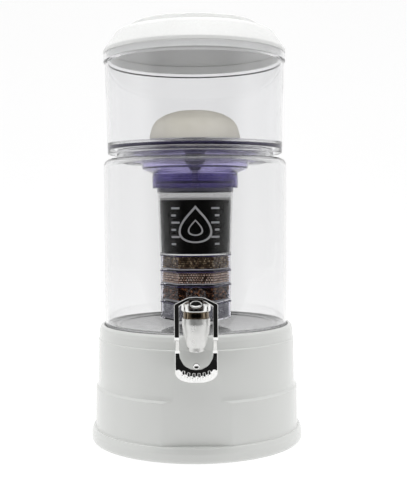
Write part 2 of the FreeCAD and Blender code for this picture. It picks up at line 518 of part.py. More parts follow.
chamber = turned("tap_chamber", [
    ("0", "spout_end - 1"), ("spout_bore", "spout_end - 1"), ("spout_bore", "seat_bottom"), ("seat_bore", "seat_bottom"),
    ("seat_bore", "seat_top"), ("chamber_radius", "seat_top"), ("chamber_radius", "barrel_top + 1"), ("0", "barrel_top + 1"),
])
chamber.Placement = tap_place
passage = cylinder("tap_passage", "shank_bore", "0 - tap_reach", "tap_reach - shank_end + 1", (0, num("shank_height")), "Y")
casting = fuse("tap_casting", [barrel, shank, flange, neck])
node(cut("tap_body", casting, [chamber, passage]))

# rubber washers that take up the curve of the tank wall, and the nut inside the tank
outer_disc = cylinder("outer_gasket_disc", "gasket_radius", "0 - flange_back", "flange_back - 118", (0, num("shank_height")), "Y")
outer_bore = cylinder("outer_gasket_bore", "shank_radius", "0 - flange_back - 1", "20", (0, num("shank_height")), "Y")
wall_round = cylinder("wall_outer_round", "tank_radius", "tank_bottom", "tank_top", (0, 0), "Z")
node(cut("tap_gasket_outer", outer_disc, [wall_round, outer_bore]))
inner_disc = cylinder("inner_gasket_disc", "gasket_radius", "0 - 124", "124 - inner_gasket_face", (0, num("shank_height")), "Y")
inner_bore = cylinder("inner_gasket_bore", "shank_radius", "0 - 125", "20", (0, num("shank_height")), "Y")
wall_inside = cylinder("wall_inner_round", "tank_radius - tank_wall", "tank_bottom", "tank_top", (0, 0), "Z")
inner_washer = common("inner_gasket_blank", inner_disc, wall_inside)
node(cut("tap_gasket_inner", inner_washer, [inner_bore]))
nut_blank = doc.addObject("Part::Prism", "tap_nut_blank")
nut_blank.Polygon = 6
bind(nut_blank, "Circumradius", "tap_nut_corner")
bind(nut_blank, "Height", "inner_gasket_face - tap_nut_end")
nut_blank.Placement = FreeCAD.Placement(FreeCAD.Vector(0, -num("inner_gasket_face"), num("shank_height")), FreeCAD.Rotation(FreeCAD.Vector(1, 0, 0), -90))
nut_bore = cylinder("tap_nut_bore", "shank_radius", "0 - 119", "20", (0, num("shank_height")), "Y")
node(cut("tap_nut", nut_blank, [nut_bore]))

# bonnet: threaded spigot, guide for the stem, and two ears either side of the lever's slot
collar = turned("tap_collar", [
    ("chamber_radius", "barrel_top"), ("collar_radius", "barrel_top"), ("collar_radius", "collar_top"), ("chamber_radius", "collar_top"),
])
collar.Placement = tap_place
node(collar)
bonnet_blank = turned("bonnet_blank", [
    ("stem_guide", "spring_room_top"), ("spring_room", "spring_room_top"), ("spring_room", "spigot_low"), ("chamber_radius", "spigot_low"),
    ("chamber_radius", "collar_top"), ("bonnet_radius", "collar_top"), ("bonnet_radius", "bonnet_top"), ("stem_guide", "bonnet_top"),
], [("bonnet_radius", "bonnet_top", "bonnet_round")])
bonnet_blank.Placement = tap_place
slot = block("bonnet_slot_block", ("0 - bonnet_slot", "0 - tap_reach - bonnet_radius - 2", "slot_floor"),
             ("bonnet_slot", "bonnet_radius + 2 - tap_reach", "bonnet_top + 2"))
pin_bore = cylinder("bonnet_pin_bore", "pin_radius", "0 - pin_half", "pin_half + pin_half", (-num("pin_forward"), num("pin_height")), "X")
inlet_clear = cylinder("bonnet_inlet", "shank_bore", "0 - tap_reach", "20", (0, num("shank_height")), "Y")
node(cut("tap_bonnet", bonnet_blank, [slot, pin_bore, inlet_clear]))
node(cylinder("lever_pin", "pin_radius", "0 - pin_half", "pin_half + pin_half", (-num("pin_forward"), num("pin_height")), "X"))

# valve: stem with a head that the lever's fingers lift, and a rubber seal on the seat
stem = turned("valve_stem", [
    ("0", "rod_disc_low"), ("rod_disc_radius", "rod_disc_low"), ("rod_disc_radius", "rod_disc_top"), ("rod_radius", "rod_disc_top"),
    ("rod_radius", "rod_head_low"), ("rod_head_radius", "rod_head_low"), ("rod_head_radius", "rod_head_top - 0.8"),
    ("rod_head_radius - 1.2", "rod_head_top"), ("0", "rod_head_top"),
])
stem.Placement = tap_place
node(stem)
seal = turned("valve_seal", [
    ("0", "valve_seal_low"), ("valve_seal_radius", "valve_seal_low"), ("valve_seal_radius", "rod_disc_low"), ("0", "rod_disc_low"),
])
seal.Placement = tap_place
node(seal)
coil_path = doc.addObject("Part::Helix", "spring_path")
bind(coil_path, "Pitch", "spring_pitch")
bind(coil_path, "Height", "spring_high - spring_low")
bind(coil_path, "Radius", "spring_mean")
coil_wire = doc.addObject("Part::Circle", "spring_section")
bind(coil_wire, "Radius", "spring_wire")
coil_wire.Placement = FreeCAD.Placement(FreeCAD.Vector(num("spring_mean"), 0, 0), FreeCAD.Rotation(FreeCAD.Vector(1, 0, 0), 90))
doc.recompute()
spring = doc.addObject("Part::Sweep", "valve_spring")
spring.Sections = [coil_wire]
spring.Spine = (coil_path, ["Edge1"])
spring.Solid = True
spring.Frenet = True
spring.Placement = FreeCAD.Placement(FreeCAD.Vector(0, -num("tap_reach"), num("spring_low")), FreeCAD.Rotation())
node(spring)

# lever: the loop is the front outline met with the bent side profile, then the hub and its two fingers are added
loop = doc.addObject("PartDesign::Body", "loop_front_outline")
loop_sketch = sketch_on(loop, "XZ_Plane", "loop_outline")
outline(loop_sketch, [
    ("0 - loop_half", "loop_bottom_corner"), ("0 - loop_half + 7", "loop_bottom + 2.6"), ("0 - 9", "loop_bottom"), ("9", "loop_bottom"),
    ("loop_half - 7", "loop_bottom + 2.6"), ("loop_half", "loop_bottom_corner"), ("loop_half", "loop_corner_z - 1.4"), ("loop_half - 1.6", "loop_corner_z + 0.6"),
    ("loop_crown_half", "loop_crown_z - 0.6"), ("4", "loop_crown_z"), ("0 - 4", "loop_crown_z"), ("0 - loop_crown_half", "loop_crown_z - 0.6"),
    ("1.6 - loop_half", "loop_corner_z + 0.6"), ("0 - loop_half", "loop_corner_z - 1.4"),
])
outline(loop_sketch, [
    ("arm_width - loop_half", "window_side"), ("0 - 13", "window_bottom + 3.4"), ("0 - 6", "window_bottom"), ("6", "window_bottom"),
    ("13", "window_bottom + 3.4"), ("loop_half - arm_width", "window_side"),
    ("loop_half - arm_width", "loop_corner_z - 2.2"), ("loop_crown_half", "loop_crown_z - loop_bar"), ("0 - loop_crown_half", "loop_crown_z - loop_bar"),
    ("arm_width - loop_half", "loop_corner_z - 2.2"),
])
doc.recompute()
loop_pad = loop.newObject("PartDesign::Pad", "loop_pad")
loop_pad.Profile = loop_sketch
loop_pad.Type = "Length"
loop_pad.Length = 230
bind(loop_pad, "Length", "loop_front + 40")
loop.Tip = loop_pad
doc.recompute()
if loop.Shape.BoundBox.YMax > 1:
    loop_pad.Reversed = True
doc.recompute()
side = doc.addObject("PartDesign::Body", "loop_side_profile")
side_sketch = sketch_on(side, "YZ_Plane", "loop_side_outline")
outline(side_sketch, [
    ("0 - loop_front", "loop_crown_z + 5"), ("0 - loop_front", "bend_top"), ("0 - loop_front + 2.4", "bend_top - 3.2"), ("0 - paddle_front - 2.6", "bend_bottom + 3"),
    ("0 - paddle_front", "bend_bottom"), ("0 - paddle_front", "loop_bottom - 4"),
    ("loop_plate - 0.8 - paddle_front", "loop_bottom - 4"), ("loop_plate - 0.8 - paddle_front", "bend_bottom + 1.2"),
    ("loop_plate - 4.4 - paddle_front", "bend_bottom + 5.2"), ("loop_plate + 2 - loop_front", "bend_top - 1.6"),
    ("loop_plate - loop_front", "bend_top + 1.6"), ("loop_plate - loop_front", "loop_crown_z + 5"),
])
doc.recompute()
side_pad = side.newObject("PartDesign::Pad", "side_pad")
side_pad.Profile = side_sketch
side_pad.Type = "Length"
side_pad.Midplane = True
side_pad.Length = 80
bind(side_pad, "Length", "loop_half + loop_half + 10")
side.Tip = side_pad
doc.recompute()
frame_loop = common("lever_frame", loop, side)
tab = cylinder("lever_tab", "tab_radius", "0 - paddle_front", "loop_plate - 0.8", (0, num("tab_height")), "Y")
hub_block = block("lever_hub_block", ("0 - hub_half", "0 - hub_front", "hub_low"), ("hub_half", "0 - hub_back", "hub_top"))
hub_boss = cylinder("lever_hub_boss", "hub_boss", "0 - hub_half", "hub_half + hub_half", (-num("pin_forward"), num("pin_height")), "X")
hub_parts = [frame_loop, tab, hub_block, hub_boss]
for sign, tag in ((1, "right"), (-1, "left")):
    if sign > 0:
        span = ("tine_in", "tine_out")
    else:
        span = ("0 - tine_out", "0 - tine_in")
    tine = block("tine_" + tag, (span[0], "0 - hub_back - 1", "tine_low"), (span[1], "0 - tap_reach", "tine_top"))
    finger = cylinder("finger_" + tag, "finger_radius", span[0], "tine_out - tine_in", (-num("tap_reach"), num("finger_height")), "X")
    hub_parts += [tine, finger]
lever_blank = fuse("lever_blank", hub_parts)
lever_bore = cylinder("lever_bore", "pin_radius + pin_clear", "0 - 15", "30", (-num("pin_forward"), num("pin_height")), "X")
# the hub is scooped out round the stem's head
head_relief = cylinder("head_relief", "rod_head_radius + 0.7", "tine_top + 0.4", "hub_top - tine_top + 2", (0, -num("tap_reach")), "Z")
node(cut("tap_lever", lever_blank, [lever_bore, head_relief]))

button = doc.addObject("PartDesign::Body", "lever_button")
button_sketch = sketch_on(button, "XZ_Plane", "button_outline")
oval = button_sketch.addGeometry(Part.Ellipse(FreeCAD.Vector(0, num("button_height"), 0), num("button_half_wide"), num("button_half_high")), False)
at(button_sketch, oval, 3, "X", "0")
at(button_sketch, oval, 3, "Y", "button_height")
doc.recompute()
button_pad = button.newObject("PartDesign::Pad", "button_pad")
button_pad.Profile = button_sketch
button_pad.Type = "Length"
button_pad.Length = num("button_thick")
bind(button_pad, "Length", "button_thick")
button.Tip = button_pad
doc.recompute()
offset = -num("hub_front") - button.Shape.BoundBox.YMax
button.Placement = FreeCAD.Placement(FreeCAD.Vector(0, offset, 0), FreeCAD.Rotation())
node(button)

# ---------------------------------------------------------------------------
# recompute, check and write
# ---------------------------------------------------------------------------
doc.recompute()
bad = []
for obj in doc.Objects:
    if "Invalid" in obj.State or "Error" in obj.State:
        bad.append("%s: %s" % (obj.Name, obj.State))
for obj in nodes:
    if obj.Shape.isNull() or not obj.Shape.isValid() or not obj.Shape.Solids:
        bad.append("%s has no valid solid" % obj.Label)
if bad:
    raise RuntimeError("; ".join(bad))

os.makedirs("parts", exist_ok=True)
seen = set()
for obj in nodes:
    assert obj.Label not in seen, obj.Label
    seen.add(obj.Label)
    obj.Shape.exportStep("parts/%s.step" % obj.Label)
    box = obj.Shape.BoundBox
    print("%-20s solids %d  vol %9.1f  x %7.2f %7.2f  y %7.2f %7.2f  z %7.2f %7.2f" % (
        obj.Label, len(obj.Shape.Solids), obj.Shape.Volume, box.XMin, box.XMax, box.YMin, box.YMax, box.ZMin, box.ZMax))
print(len(nodes), "nodes")
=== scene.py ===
import math
import random

import bmesh
import bpy
from mathutils import Euler, Matrix, Vector


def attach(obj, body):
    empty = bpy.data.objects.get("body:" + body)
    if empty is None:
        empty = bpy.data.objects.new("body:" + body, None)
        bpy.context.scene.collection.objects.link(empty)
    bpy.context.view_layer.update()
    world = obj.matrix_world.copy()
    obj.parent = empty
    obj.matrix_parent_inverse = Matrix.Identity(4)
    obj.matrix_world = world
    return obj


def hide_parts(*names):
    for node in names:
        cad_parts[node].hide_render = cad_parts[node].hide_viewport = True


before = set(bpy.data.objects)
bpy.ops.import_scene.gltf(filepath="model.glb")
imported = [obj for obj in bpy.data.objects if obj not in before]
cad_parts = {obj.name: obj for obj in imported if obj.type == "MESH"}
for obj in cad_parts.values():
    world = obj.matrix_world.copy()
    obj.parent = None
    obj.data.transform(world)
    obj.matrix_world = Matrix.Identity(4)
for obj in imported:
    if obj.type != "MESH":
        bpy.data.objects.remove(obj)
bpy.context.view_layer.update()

MM = 0.001
scene = bpy.context.scene

# ---------------------------------------------------------------- camera
cam_data = bpy.data.cameras.new("cam")
cam = bpy.data.objects.new("cam", cam_data)
scene.collection.objects.link(cam)
scene.camera = cam
cam_data.sensor_fit = "AUTO"
cam_data.sensor_width = 36.0
cam_data.lens = 883.64 * 36.0 / 499.0
cam_data.shift_x = 7.9 / 499.0
cam_data.clip_start, cam_data.clip_end = 0.05, 50
pitch, roll = math.radians(-2.81), math.radians(-0.4021)
cam.matrix_world = (Matrix.Translation((0.0, -1.21378, 0.31668))
                    @ Matrix.Rotation(math.pi / 2 + pitch, 4, "X") @ Matrix.Rotation(roll, 4, "Z"))


# ---------------------------------------------------------------- node helpers
def new_mat(name):
    m = bpy.data.materials.new(name)
    m.use_nodes = True
    nt = m.node_tree
    for n in list(nt.nodes):
        nt.nodes.remove(n)
    out = nt.nodes.new("ShaderNodeOutputMaterial")
    p = nt.nodes.new("ShaderNodeBsdfPrincipled")
    nt.links.new(p.outputs[0], out.inputs[0])
    return m, nt, p, out


def noise(nt, scale, detail=3.0, rough=0.55, stretch=None):
    tc = nt.nodes.new("ShaderNodeTexCoord")
    mp = nt.nodes.new("ShaderNodeMapping")
    if stretch:
        mp.inputs["Scale"].default_value = stretch
    nt.links.new(tc.outputs["Object"], mp.inputs[0])
    n = nt.nodes.new("ShaderNodeTexNoise")
    n.inputs["Scale"].default_value = scale
    n.inputs["Detail"].default_value = detail
    n.inputs["Roughness"].default_value = rough
    nt.links.new(mp.outputs[0], n.inputs["Vector"])
    return n


def ramp(nt, src, stops):
    r = nt.nodes.new("ShaderNodeValToRGB")
    r.color_ramp.elements[0].position, r.color_ramp.elements[0].color = stops[0][0], (*stops[0][1], 1)
    r.color_ramp.elements[1].position, r.color_ramp.elements[1].color = stops[-1][0], (*stops[-1][1], 1)
    for pos, col in stops[1:-1]:
        e = r.color_ramp.elements.new(pos)
        e.color = (*col, 1)
    nt.links.new(src, r.inputs[0])
    return r


def spread(nt, src, low, high):
    m = nt.nodes.new("ShaderNodeMapRange")
    m.inputs["From Min"].default_value, m.inputs["From Max"].default_value = 0.3, 0.7
    m.inputs["To Min"].default_value, m.inputs["To Max"].default_value = low, high
    nt.links.new(src, m.inputs["Value"])
    return m


def bump(nt, p, src, strength, distance):
    b = nt.nodes.new("ShaderNodeBump")
    b.inputs["Strength"].default_value = strength
    b.inputs["Distance"].default_value = distance
    nt.links.new(src, b.inputs["Height"])
    nt.links.new(b.outputs[0], p.inputs["Normal"])
    return b


def plastic(name, low, high, rough=(0.2, 0.3), grain=900.0, depth=0.00002, coat=0.0):
    m, nt, p, out = new_mat(name)
    wide = noise(nt, 9.0, 2.0)
    nt.links.new(ramp(nt, wide.outputs[0], [(0.3, low), (0.7, high)]).outputs[0], p.inputs["Base Color"])
    fine = noise(nt, grain, 2.0)
    nt.links.new(spread(nt, fine.outputs[0], *rough).outputs[0], p.inputs["Roughness"])
    bump(nt, p, fine.outputs[0], 0.12, depth)
    p.inputs["IOR"].default_value = 1.5
    p.inputs["Coat Weight"].default_value = coat
    p.inputs["Coat Roughness"].default_value = 0.08
    return m


def clear(name, colour, rough=(0.0, 0.02), ior=1.47, shade=(0.93, 0.93, 0.94), wave=0.00012, soak=0.0):
    """See-through plastic. Lamps reach what is inside through a tinted Transparent shader on shadow rays."""
    m, nt, p, out = new_mat(name)
    p.inputs["Base Color"].default_value = (*colour, 1)
    p.inputs["Transmission Weight"].default_value = 1.0
    p.inputs["IOR"].default_value = ior
    soft = noise(nt, 22.0, 1.0, stretch=(1, 1, 0.35))
    nt.links.new(spread(nt, soft.outputs[0], *rough).outputs[0], p.inputs["Roughness"])
    if wave:
        bump(nt, p, soft.outputs[0], 0.1, wave)
    t = nt.nodes.new("ShaderNodeBsdfTransparent")
    t.inputs[0].default_value = (*shade, 1)
    lp = nt.nodes.new("ShaderNodeLightPath")
    mix = nt.nodes.new("ShaderNodeMixShader")
    nt.links.new(lp.outputs["Is Shadow Ray"], mix.inputs[0])
    nt.links.new(p.outputs[0], mix.inputs[1])
    nt.links.new(t.outputs[0], mix.inputs[2])
    nt.links.new(mix.outputs[0], out.inputs[0])
    if soak:
        v = nt.nodes.new("ShaderNodeVolumeAbsorption")
        v.inputs["Color"].default_value = (0.9, 0.9, 0.905, 1)
        v.inputs["Density"].default_value = soak * 10.0
        nt.links.new(v.outputs[0], out.inputs["Volume"])
    return m


def metal(name, low, high, rough=(0.03, 0.07), stretch=None, scale=160.0, depth=0.00001, mirror=1.0):
    m, nt, p, out = new_mat(name)
    p.inputs["Metallic"].default_value = mirror
    n = noise(nt, scale, 3.0, stretch=stretch)
    nt.links.new(ramp(nt, n.outputs[0], [(0.35, low), (0.65, high)]).outputs[0], p.inputs["Base Color"])
    nt.links.new(spread(nt, n.outputs[0], *rough).outputs[0], p.inputs["Roughness"])
    bump(nt, p, n.outputs[0], 0.08, depth)
    return m


def grains(name, stops, rough=(0.45, 0.8), scale=700.0, depth=0.0002):
    """Loose granules: each takes its own tone from the grain attribute, mottled by fine noise; the core below them has
    tone 0, so it takes the darkest stop, painted shade between the granules.
    """
    m, nt, p, out = new_mat(name)
    a = nt.nodes.new("ShaderNodeAttribute")
    a.attribute_name = "grain"
    n = noise(nt, scale, 3.0)
    add = nt.nodes.new("ShaderNodeMath")
    add.operation = "MULTIPLY_ADD"
    add.inputs[1].default_value = 0.35
    nt.links.new(n.outputs[0], add.inputs[0])
    sub = nt.nodes.new("ShaderNodeMath")
    sub.operation = "SUBTRACT"
    sub.inputs[1].default_value = 0.17
    nt.links.new(a.outputs["Fac"], sub.inputs[0])
    nt.links.new(sub.outputs[0], add.inputs[2])
    nt.links.new(ramp(nt, add.outputs[0], stops).outputs[0], p.inputs["Base Color"])
    nt.links.new(spread(nt, n.outputs[0], *rough).outputs[0], p.inputs["Roughness"])
    bump(nt, p, n.outputs[0], 0.4, depth)
    p.inputs["Specular IOR Level"].default_value = 0.1
    return m


def tinted(name, colour, rough, through, ior, shade):
    """Moulded plastic that lets light through and scatters some of it."""
    m, nt, p, out = new_mat(name)
    wide = noise(nt, 14.0, 2.0)
    low = tuple(c * 0.94 for c in colour)
    nt.links.new(ramp(nt, wide.outputs[0], [(0.3, low), (0.7, colour)]).outputs[0], p.inputs["Base Color"])
    fine = noise(nt, 320.0, 2.0)
    nt.links.new(spread(nt, fine.outputs[0], *rough).outputs[0], p.inputs["Roughness"])
    bump(nt, p, fine.outputs[0], 0.06, 0.00002)
    p.inputs["Transmission Weight"].default_value = through
    p.inputs["IOR"].default_value = ior
    t = nt.nodes.new("ShaderNodeBsdfTransparent")
    t.inputs[0].default_value = (*shade, 1)
    lp = nt.nodes.new("ShaderNodeLightPath")
    mix = nt.nodes.new("ShaderNodeMixShader")
    cast = nt.nodes.new("ShaderNodeMath")
    cast.operation = "MULTIPLY"
    cast.inputs[1].default_value = through
    nt.links.new(lp.outputs["Is Shadow Ray"], cast.inputs[0])
    nt.links.new(cast.outputs[0], mix.inputs[0])
    nt.links.new(p.outputs[0], mix.inputs[1])
    nt.links.new(t.outputs[0], mix.inputs[2])
    nt.links.new(mix.outputs[0], out.inputs[0])
    return m


def stained(name, colour, depth_colour, density, rough, ior, shade):
    """Clear plastic stained through: it darkens where it is seen edge on."""
    m, nt, p, out = new_mat(name)
    wide = noise(nt, 14.0, 2.0)
    low = tuple(c * 0.96 for c in colour)
    nt.links.new(ramp(nt, wide.outputs[0], [(0.3, low), (0.7, colour)]).outputs[0], p.inputs["Base Color"])
    fine = noise(nt, 60.0, 2.0)
    nt.links.new(spread(nt, fine.outputs[0], *rough).outputs[0], p.inputs["Roughness"])
    p.inputs["Transmission Weight"].default_value = 0.95
    p.inputs["IOR"].default_value = ior
    t = nt.nodes.new("ShaderNodeBsdfTransparent")
    t.inputs[0].default_value = (*shade, 1)
    lp = nt.nodes.new("ShaderNodeLightPath")
    mix = nt.nodes.new("ShaderNodeMixShader")
    nt.links.new(lp.outputs["Is Shadow Ray"], mix.inputs[0])
    nt.links.new(p.outputs[0], mix.inputs[1])
    nt.links.new(t.outputs[0], mix.inputs[2])
    nt.links.new(mix.outputs[0], out.inputs[0])
    v = nt.nodes.new("ShaderNodeVolumeAbsorption")
    v.inputs["Color"].default_value = (*depth_colour, 1)
    v.inputs["Density"].default_value = density
    nt.links.new(v.outputs[0], out.inputs["Volume"])
    return m


WHITE = plastic("moulded_white", (0.735, 0.745, 0.725), (0.765, 0.775, 0.755), (0.16, 0.24), coat=0.25)
# deck: a brighter white than the stand's, painted light that makes up for the shade under the lower tank
DECK_PAINTED_LIGHT = plastic("deck_white_painted_light", (0.87, 0.875, 0.87), (0.92, 0.925, 0.92), (0.35, 0.45))
LID = plastic("lid_white", (0.83, 0.835, 0.825), (0.86, 0.865, 0.855), (0.22, 0.32), coat=0.15)
CLEAR = clear("clear_tank", (0.925, 0.926, 0.928), shade=(0.985, 0.985, 0.985), soak=6.0)
CLEAR_UP = clear("clear_upper_tank", (0.925, 0.926, 0.931), shade=(0.985, 0.985, 0.985), soak=5.0)
HOUSING = clear("clear_housing", (0.74, 0.74, 0.74), ior=1.25, shade=(0.95, 0.95, 0.95), wave=0.0)
VIOLET = stained("violet_plastic", (0.87, 0.85, 0.95), (0.42, 0.36, 0.78), 75.0, (0.0, 0.03), 1.38, (0.9, 0.88, 0.96))
VIOLET_CAP = stained("violet_cap", (0.52, 0.48, 0.70), (0.24, 0.16, 0.60), 170.0, (0.01, 0.04), 1.4, (0.7, 0.65, 0.85))
NECK_BAND = tinted("neck_band", (0.14, 0.135, 0.17), (0.1, 0.2), 0.4, 1.45, (0.5, 0.5, 0.55))
LILAC = tinted("lilac_tray", (0.90, 0.90, 0.95), (0.0, 0.03), 1.0, 1.2, (0.99, 0.99, 1.0))
LILAC_RIM = tinted("lilac_tray_rim", (0.055, 0.045, 0.11), (0.08, 0.16), 0.35, 1.4, (0.5, 0.48, 0.62))
CHROME = metal("chrome", (0.80, 0.80, 0.79), (0.87, 0.87, 0.86))
SATIN = metal("satin_chrome", (0.70, 0.70, 0.685), (0.76, 0.76, 0.745), (0.26, 0.36), mirror=0.7)
# tap collar: dark brown metal with upright streaks, a painted reflection of the dark room and cartridge in the chrome
COLLAR_PAINTED_REFLECTION = metal("collar_painted_reflection", (0.05, 0.036, 0.022), (0.27, 0.22, 0.16), (0.06, 0.12), (14, 14, 0.6), 60.0)
STEEL = metal("turned_steel", (0.52, 0.52, 0.53), (0.62, 0.62, 0.63), (0.16, 0.3), (1, 1, 12), 220.0)
BLACK = plastic("black_plastic", (0.02, 0.019, 0.024), (0.032, 0.03, 0.038), (0.22, 0.34))
DARK_PLATE = metal("dark_plate", (0.05, 0.045, 0.04), (0.09, 0.08, 0.07), (0.08, 0.14))
RUBBER = plastic("silicone", (0.46, 0.46, 0.47), (0.54, 0.54, 0.55), (0.42, 0.55), 500.0, 0.00004)
DOME_PLASTIC = plastic("dome_base_white", (0.68, 0.67, 0.64), (0.74, 0.73, 0.7), (0.35, 0.5))
PRINT = plastic("printed_grey", (0.30, 0.30, 0.305), (0.35, 0.35, 0.355), (0.4, 0.5))
FELT = plastic("felt_white", (0.55, 0.54, 0.53), (0.7, 0.69, 0.68), (0.8, 0.95), 2500.0, 0.0003)


def ceramic_mat():
    m, nt, p, out = new_mat("fired_ceramic")
    wide = noise(nt, 28.0, 4.0, 0.6)
    speck = noise(nt, 1500.0, 2.0)
    r1 = ramp(nt, wide.outputs[0], [(0.3, (0.76, 0.73, 0.64)), (0.7, (0.85, 0.82, 0.74))])
    mix = nt.nodes.new("ShaderNodeMixRGB")
    mix.blend_type = "MULTIPLY"
    mix.inputs[0].default_value = 0.35
    nt.links.new(r1.outputs[0], mix.inputs[1])
    nt.links.new(ramp(nt, speck.outputs[0], [(0.36, (0.72, 0.70, 0.66)), (0.5, (1, 1, 1))]).outputs[0], mix.inputs[2])
    nt.links.new(mix.outputs[0], p.inputs["Base Color"])
    nt.links.new(spread(nt, speck.outputs[0], 0.75, 0.95).outputs[0], p.inputs["Roughness"])
    bump(nt, p, speck.outputs[0], 0.35, 0.00015)
    return m


CERAMIC = ceramic_mat()


def carbon_mat():
    m, nt, p, out = new_mat("carbon_bed")
    tc = nt.nodes.new("ShaderNodeTexCoord")
    v = nt.nodes.new("ShaderNodeTexVoronoi")
    v.inputs["Scale"].default_value = 900.0
    nt.links.new(tc.outputs["Object"], v.inputs["Vector"])
    # each voronoi cell is a granule, lighter in its middle and darker where cells meet: painted shade between granules
    nt.links.new(ramp(nt, v.outputs["Distance"], [(0.0, (0.014, 0.0135, 0.012)), (0.8, (0.003, 0.003, 0.003))]).outputs[0], p.inputs["Base Color"])
    nt.links.new(spread(nt, v.outputs["Distance"], 0.5, 0.8).outputs[0], p.inputs["Roughness"])
    p.inputs["Specular IOR Level"].default_value = 0.06
    bump(nt, p, v.outputs["Distance"], 0.5, 0.0004)
    return m


CARBON = carbon_mat()
# the first, darkest stop of each ramp colours the core under the granules: painted shade in the gaps
BROWN = grains("zeolite_grains", [(0.1, (0.05, 0.032, 0.018)), (0.5, (0.20, 0.135, 0.075)), (0.9, (0.62, 0.48, 0.30))])
BEADS = grains("ceramic_beads", [(0.05, (0.03, 0.018, 0.012)), (0.3, (0.50, 0.33, 0.23)), (0.55, (0.80, 0.60, 0.46)), (0.9, (0.95, 0.83, 0.70))], (0.3, 0.5), 900.0, 0.00005)
RED = grains("mineral_grains", [(0.1, (0.018, 0.010, 0.007)), (0.5, (0.085, 0.042, 0.026)), (0.9, (0.48, 0.20, 0.08))])
PALE = grains("quartz_grains", [(0.1, (0.30, 0.30, 0.32)), (0.5, (0.56, 0.56, 0.58)), (0.9, (0.85, 0.85, 0.86))], (0.25, 0.5))


# ---------------------------------------------------------------- mesh helpers
def finish_mesh(ob, mat, body, node=(), sharp=34):
    scene.collection.objects.link(ob)
    ob.data.materials.append(mat)
    for poly in ob.data.polygons:
        poly.use_smooth = True
    ob.data.set_sharp_from_angle(angle=math.radians(sharp))
    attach(ob, body)
    names = (node,) if isinstance(node, str) else tuple(node)
    if names:
        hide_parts(*names)
    return ob


def soften(points, step=7.5):
    """A closed outline of (r, z[, radius]) whose marked corners are rounded by arcs."""
    out, n = [], len(points)
    for i, pt in enumerate(points):
        rad = pt[2] if len(pt) > 2 else 0.0
        here = Vector(pt[:2])
        if rad <= 0:
            out.append((here.x, here.y))
            continue
        a, b = Vector(points[i - 1][:2]) - here, Vector(points[(i + 1) % n][:2]) - here
        la, lb = a.length, b.length
        a.normalize()
        b.normalize()
        ang = math.acos(max(-1, min(1, a.dot(b))))
        if ang > math.pi - 0.02:
            out.append((here.x, here.y))
            continue
        cut = min(rad / math.tan(ang / 2), la * 0.49, lb * 0.49)
        rad = cut * math.tan(ang / 2)
        mid = (a + b).normalized()
        centre = here + mid * (rad / math.sin(ang / 2))
        p0, p1 = here + a * cut - centre, here + b * cut - centre
        turn = math.pi - ang
        k = max(2, int(math.degrees(turn) / step) + 1)
        sign = 1 if p0.x * p1.y - p0.y * p1.x > 0 else -1
        for j in range(k + 1):
            t = sign * turn * j / k
            c, s = math.cos(t), math.sin(t)
            q = Vector((p0.x * c - p0.y * s, p0.x * s + p0.y * c)) + centre
            out.append((q.x, q.y))
    return out


def lathe_mesh(name, points, seg=256, centre=(0.0, 0.0), shape=None):
    """A closed body turned about a vertical axis. shape(x, y, z) may move a point, in millimetres."""
    bm = bmesh.new()
    rows = []
    for r, z in points:
        if r < 1e-4:
            rows.append([bm.verts.new((centre[0] * MM, centre[1] * MM, z * MM))])
            continue
        row = []
        for k in range(seg):
            t = 2 * math.pi * k / seg
            x, y = r * math.sin(t), -r * math.cos(t)
            if shape:
                x, y, zz = shape(x, y, z)
            else:
                zz = z
            row.append(bm.verts.new(((x + centre[0]) * MM, (y + centre[1]) * MM, zz * MM)))
        rows.append(row)
    n = len(rows)
    for i in range(n):
        a, b = rows[i], rows[(i + 1) % n]
        if len(a) == 1 and len(b) == 1:
            continue
        for k in range(seg):
            k2 = (k + 1) % seg
            if len(a) == 1:
                bm.faces.new((a[0], b[k2], b[k]))
            elif len(b) == 1:
                bm.faces.new((a[k], a[k2], b[0]))
            else:
                bm.faces.new((a[k], a[k2], b[k2], b[k]))
    bmesh.ops.remove_doubles(bm, verts=bm.verts, dist=1e-7)
    bmesh.ops.recalc_face_normals(bm, faces=bm.faces)
    me = bpy.data.meshes.new(name)
    bm.to_mesh(me)
    bm.free()
    return me


def lathe(name, points, mat, body, node=(), seg=256, centre=(0.0, 0.0), shape=None, sharp=34):
    ob = bpy.data.objects.new(name, lathe_mesh(name, soften(points), seg, centre, shape))
    return finish_mesh(ob, mat, body, node, sharp)


def hex_outline(corner, round_r, per=5):
    """A hexagon with a flat to the front, corners at +-X, each rounded; points run anticlockwise."""
    pts = [(corner * math.cos(math.radians(60 * k)), corner * math.sin(math.radians(60 * k)), round_r) for k in range(6)]
    return soften(pts, 60.0 / per)


def prism_mesh(name, rings):
    """Stacked outlines with equal point counts, closed by a face at each end. rings: [(outline, z)]."""
    bm = bmesh.new()
    rows = [[bm.verts.new((x * MM, y * MM, z * MM)) for x, y in outline] for outline, z in rings]
    n = len(rows[0])
    for a, b in zip(rows, rows[1:]):
        for k in range(n):
            bm.faces.new((a[k], a[(k + 1) % n], b[(k + 1) % n], b[k]))
    bm.faces.new(rows[0][::-1])
    bm.faces.new(rows[-1])
    bmesh.ops.recalc_face_normals(bm, faces=bm.faces)
    me = bpy.data.meshes.new(name)
    bm.to_mesh(me)
    bm.free()
    return me


def prism(name, rings, mat, body, node=()):
    return finish_mesh(bpy.data.objects.new(name, prism_mesh(name, rings)), mat, body, node)


def bevel_box(bm, low, high, size, turn=None, segs=3):
    got = bmesh.ops.create_cube(bm, size=1.0)
    verts = got["verts"]
    lo, hi = Vector(low) * MM, Vector(high) * MM
    for v in verts:
        v.co = Vector([lo[i] + (v.co[i] + 0.5) * (hi[i] - lo[i]) for i in range(3)])
    edges = list({e for v in verts for e in v.link_edges})
    res = bmesh.ops.bevel(bm, geom=edges, offset=size * MM, segments=segs, profile=0.5, affect="EDGES")
    return res


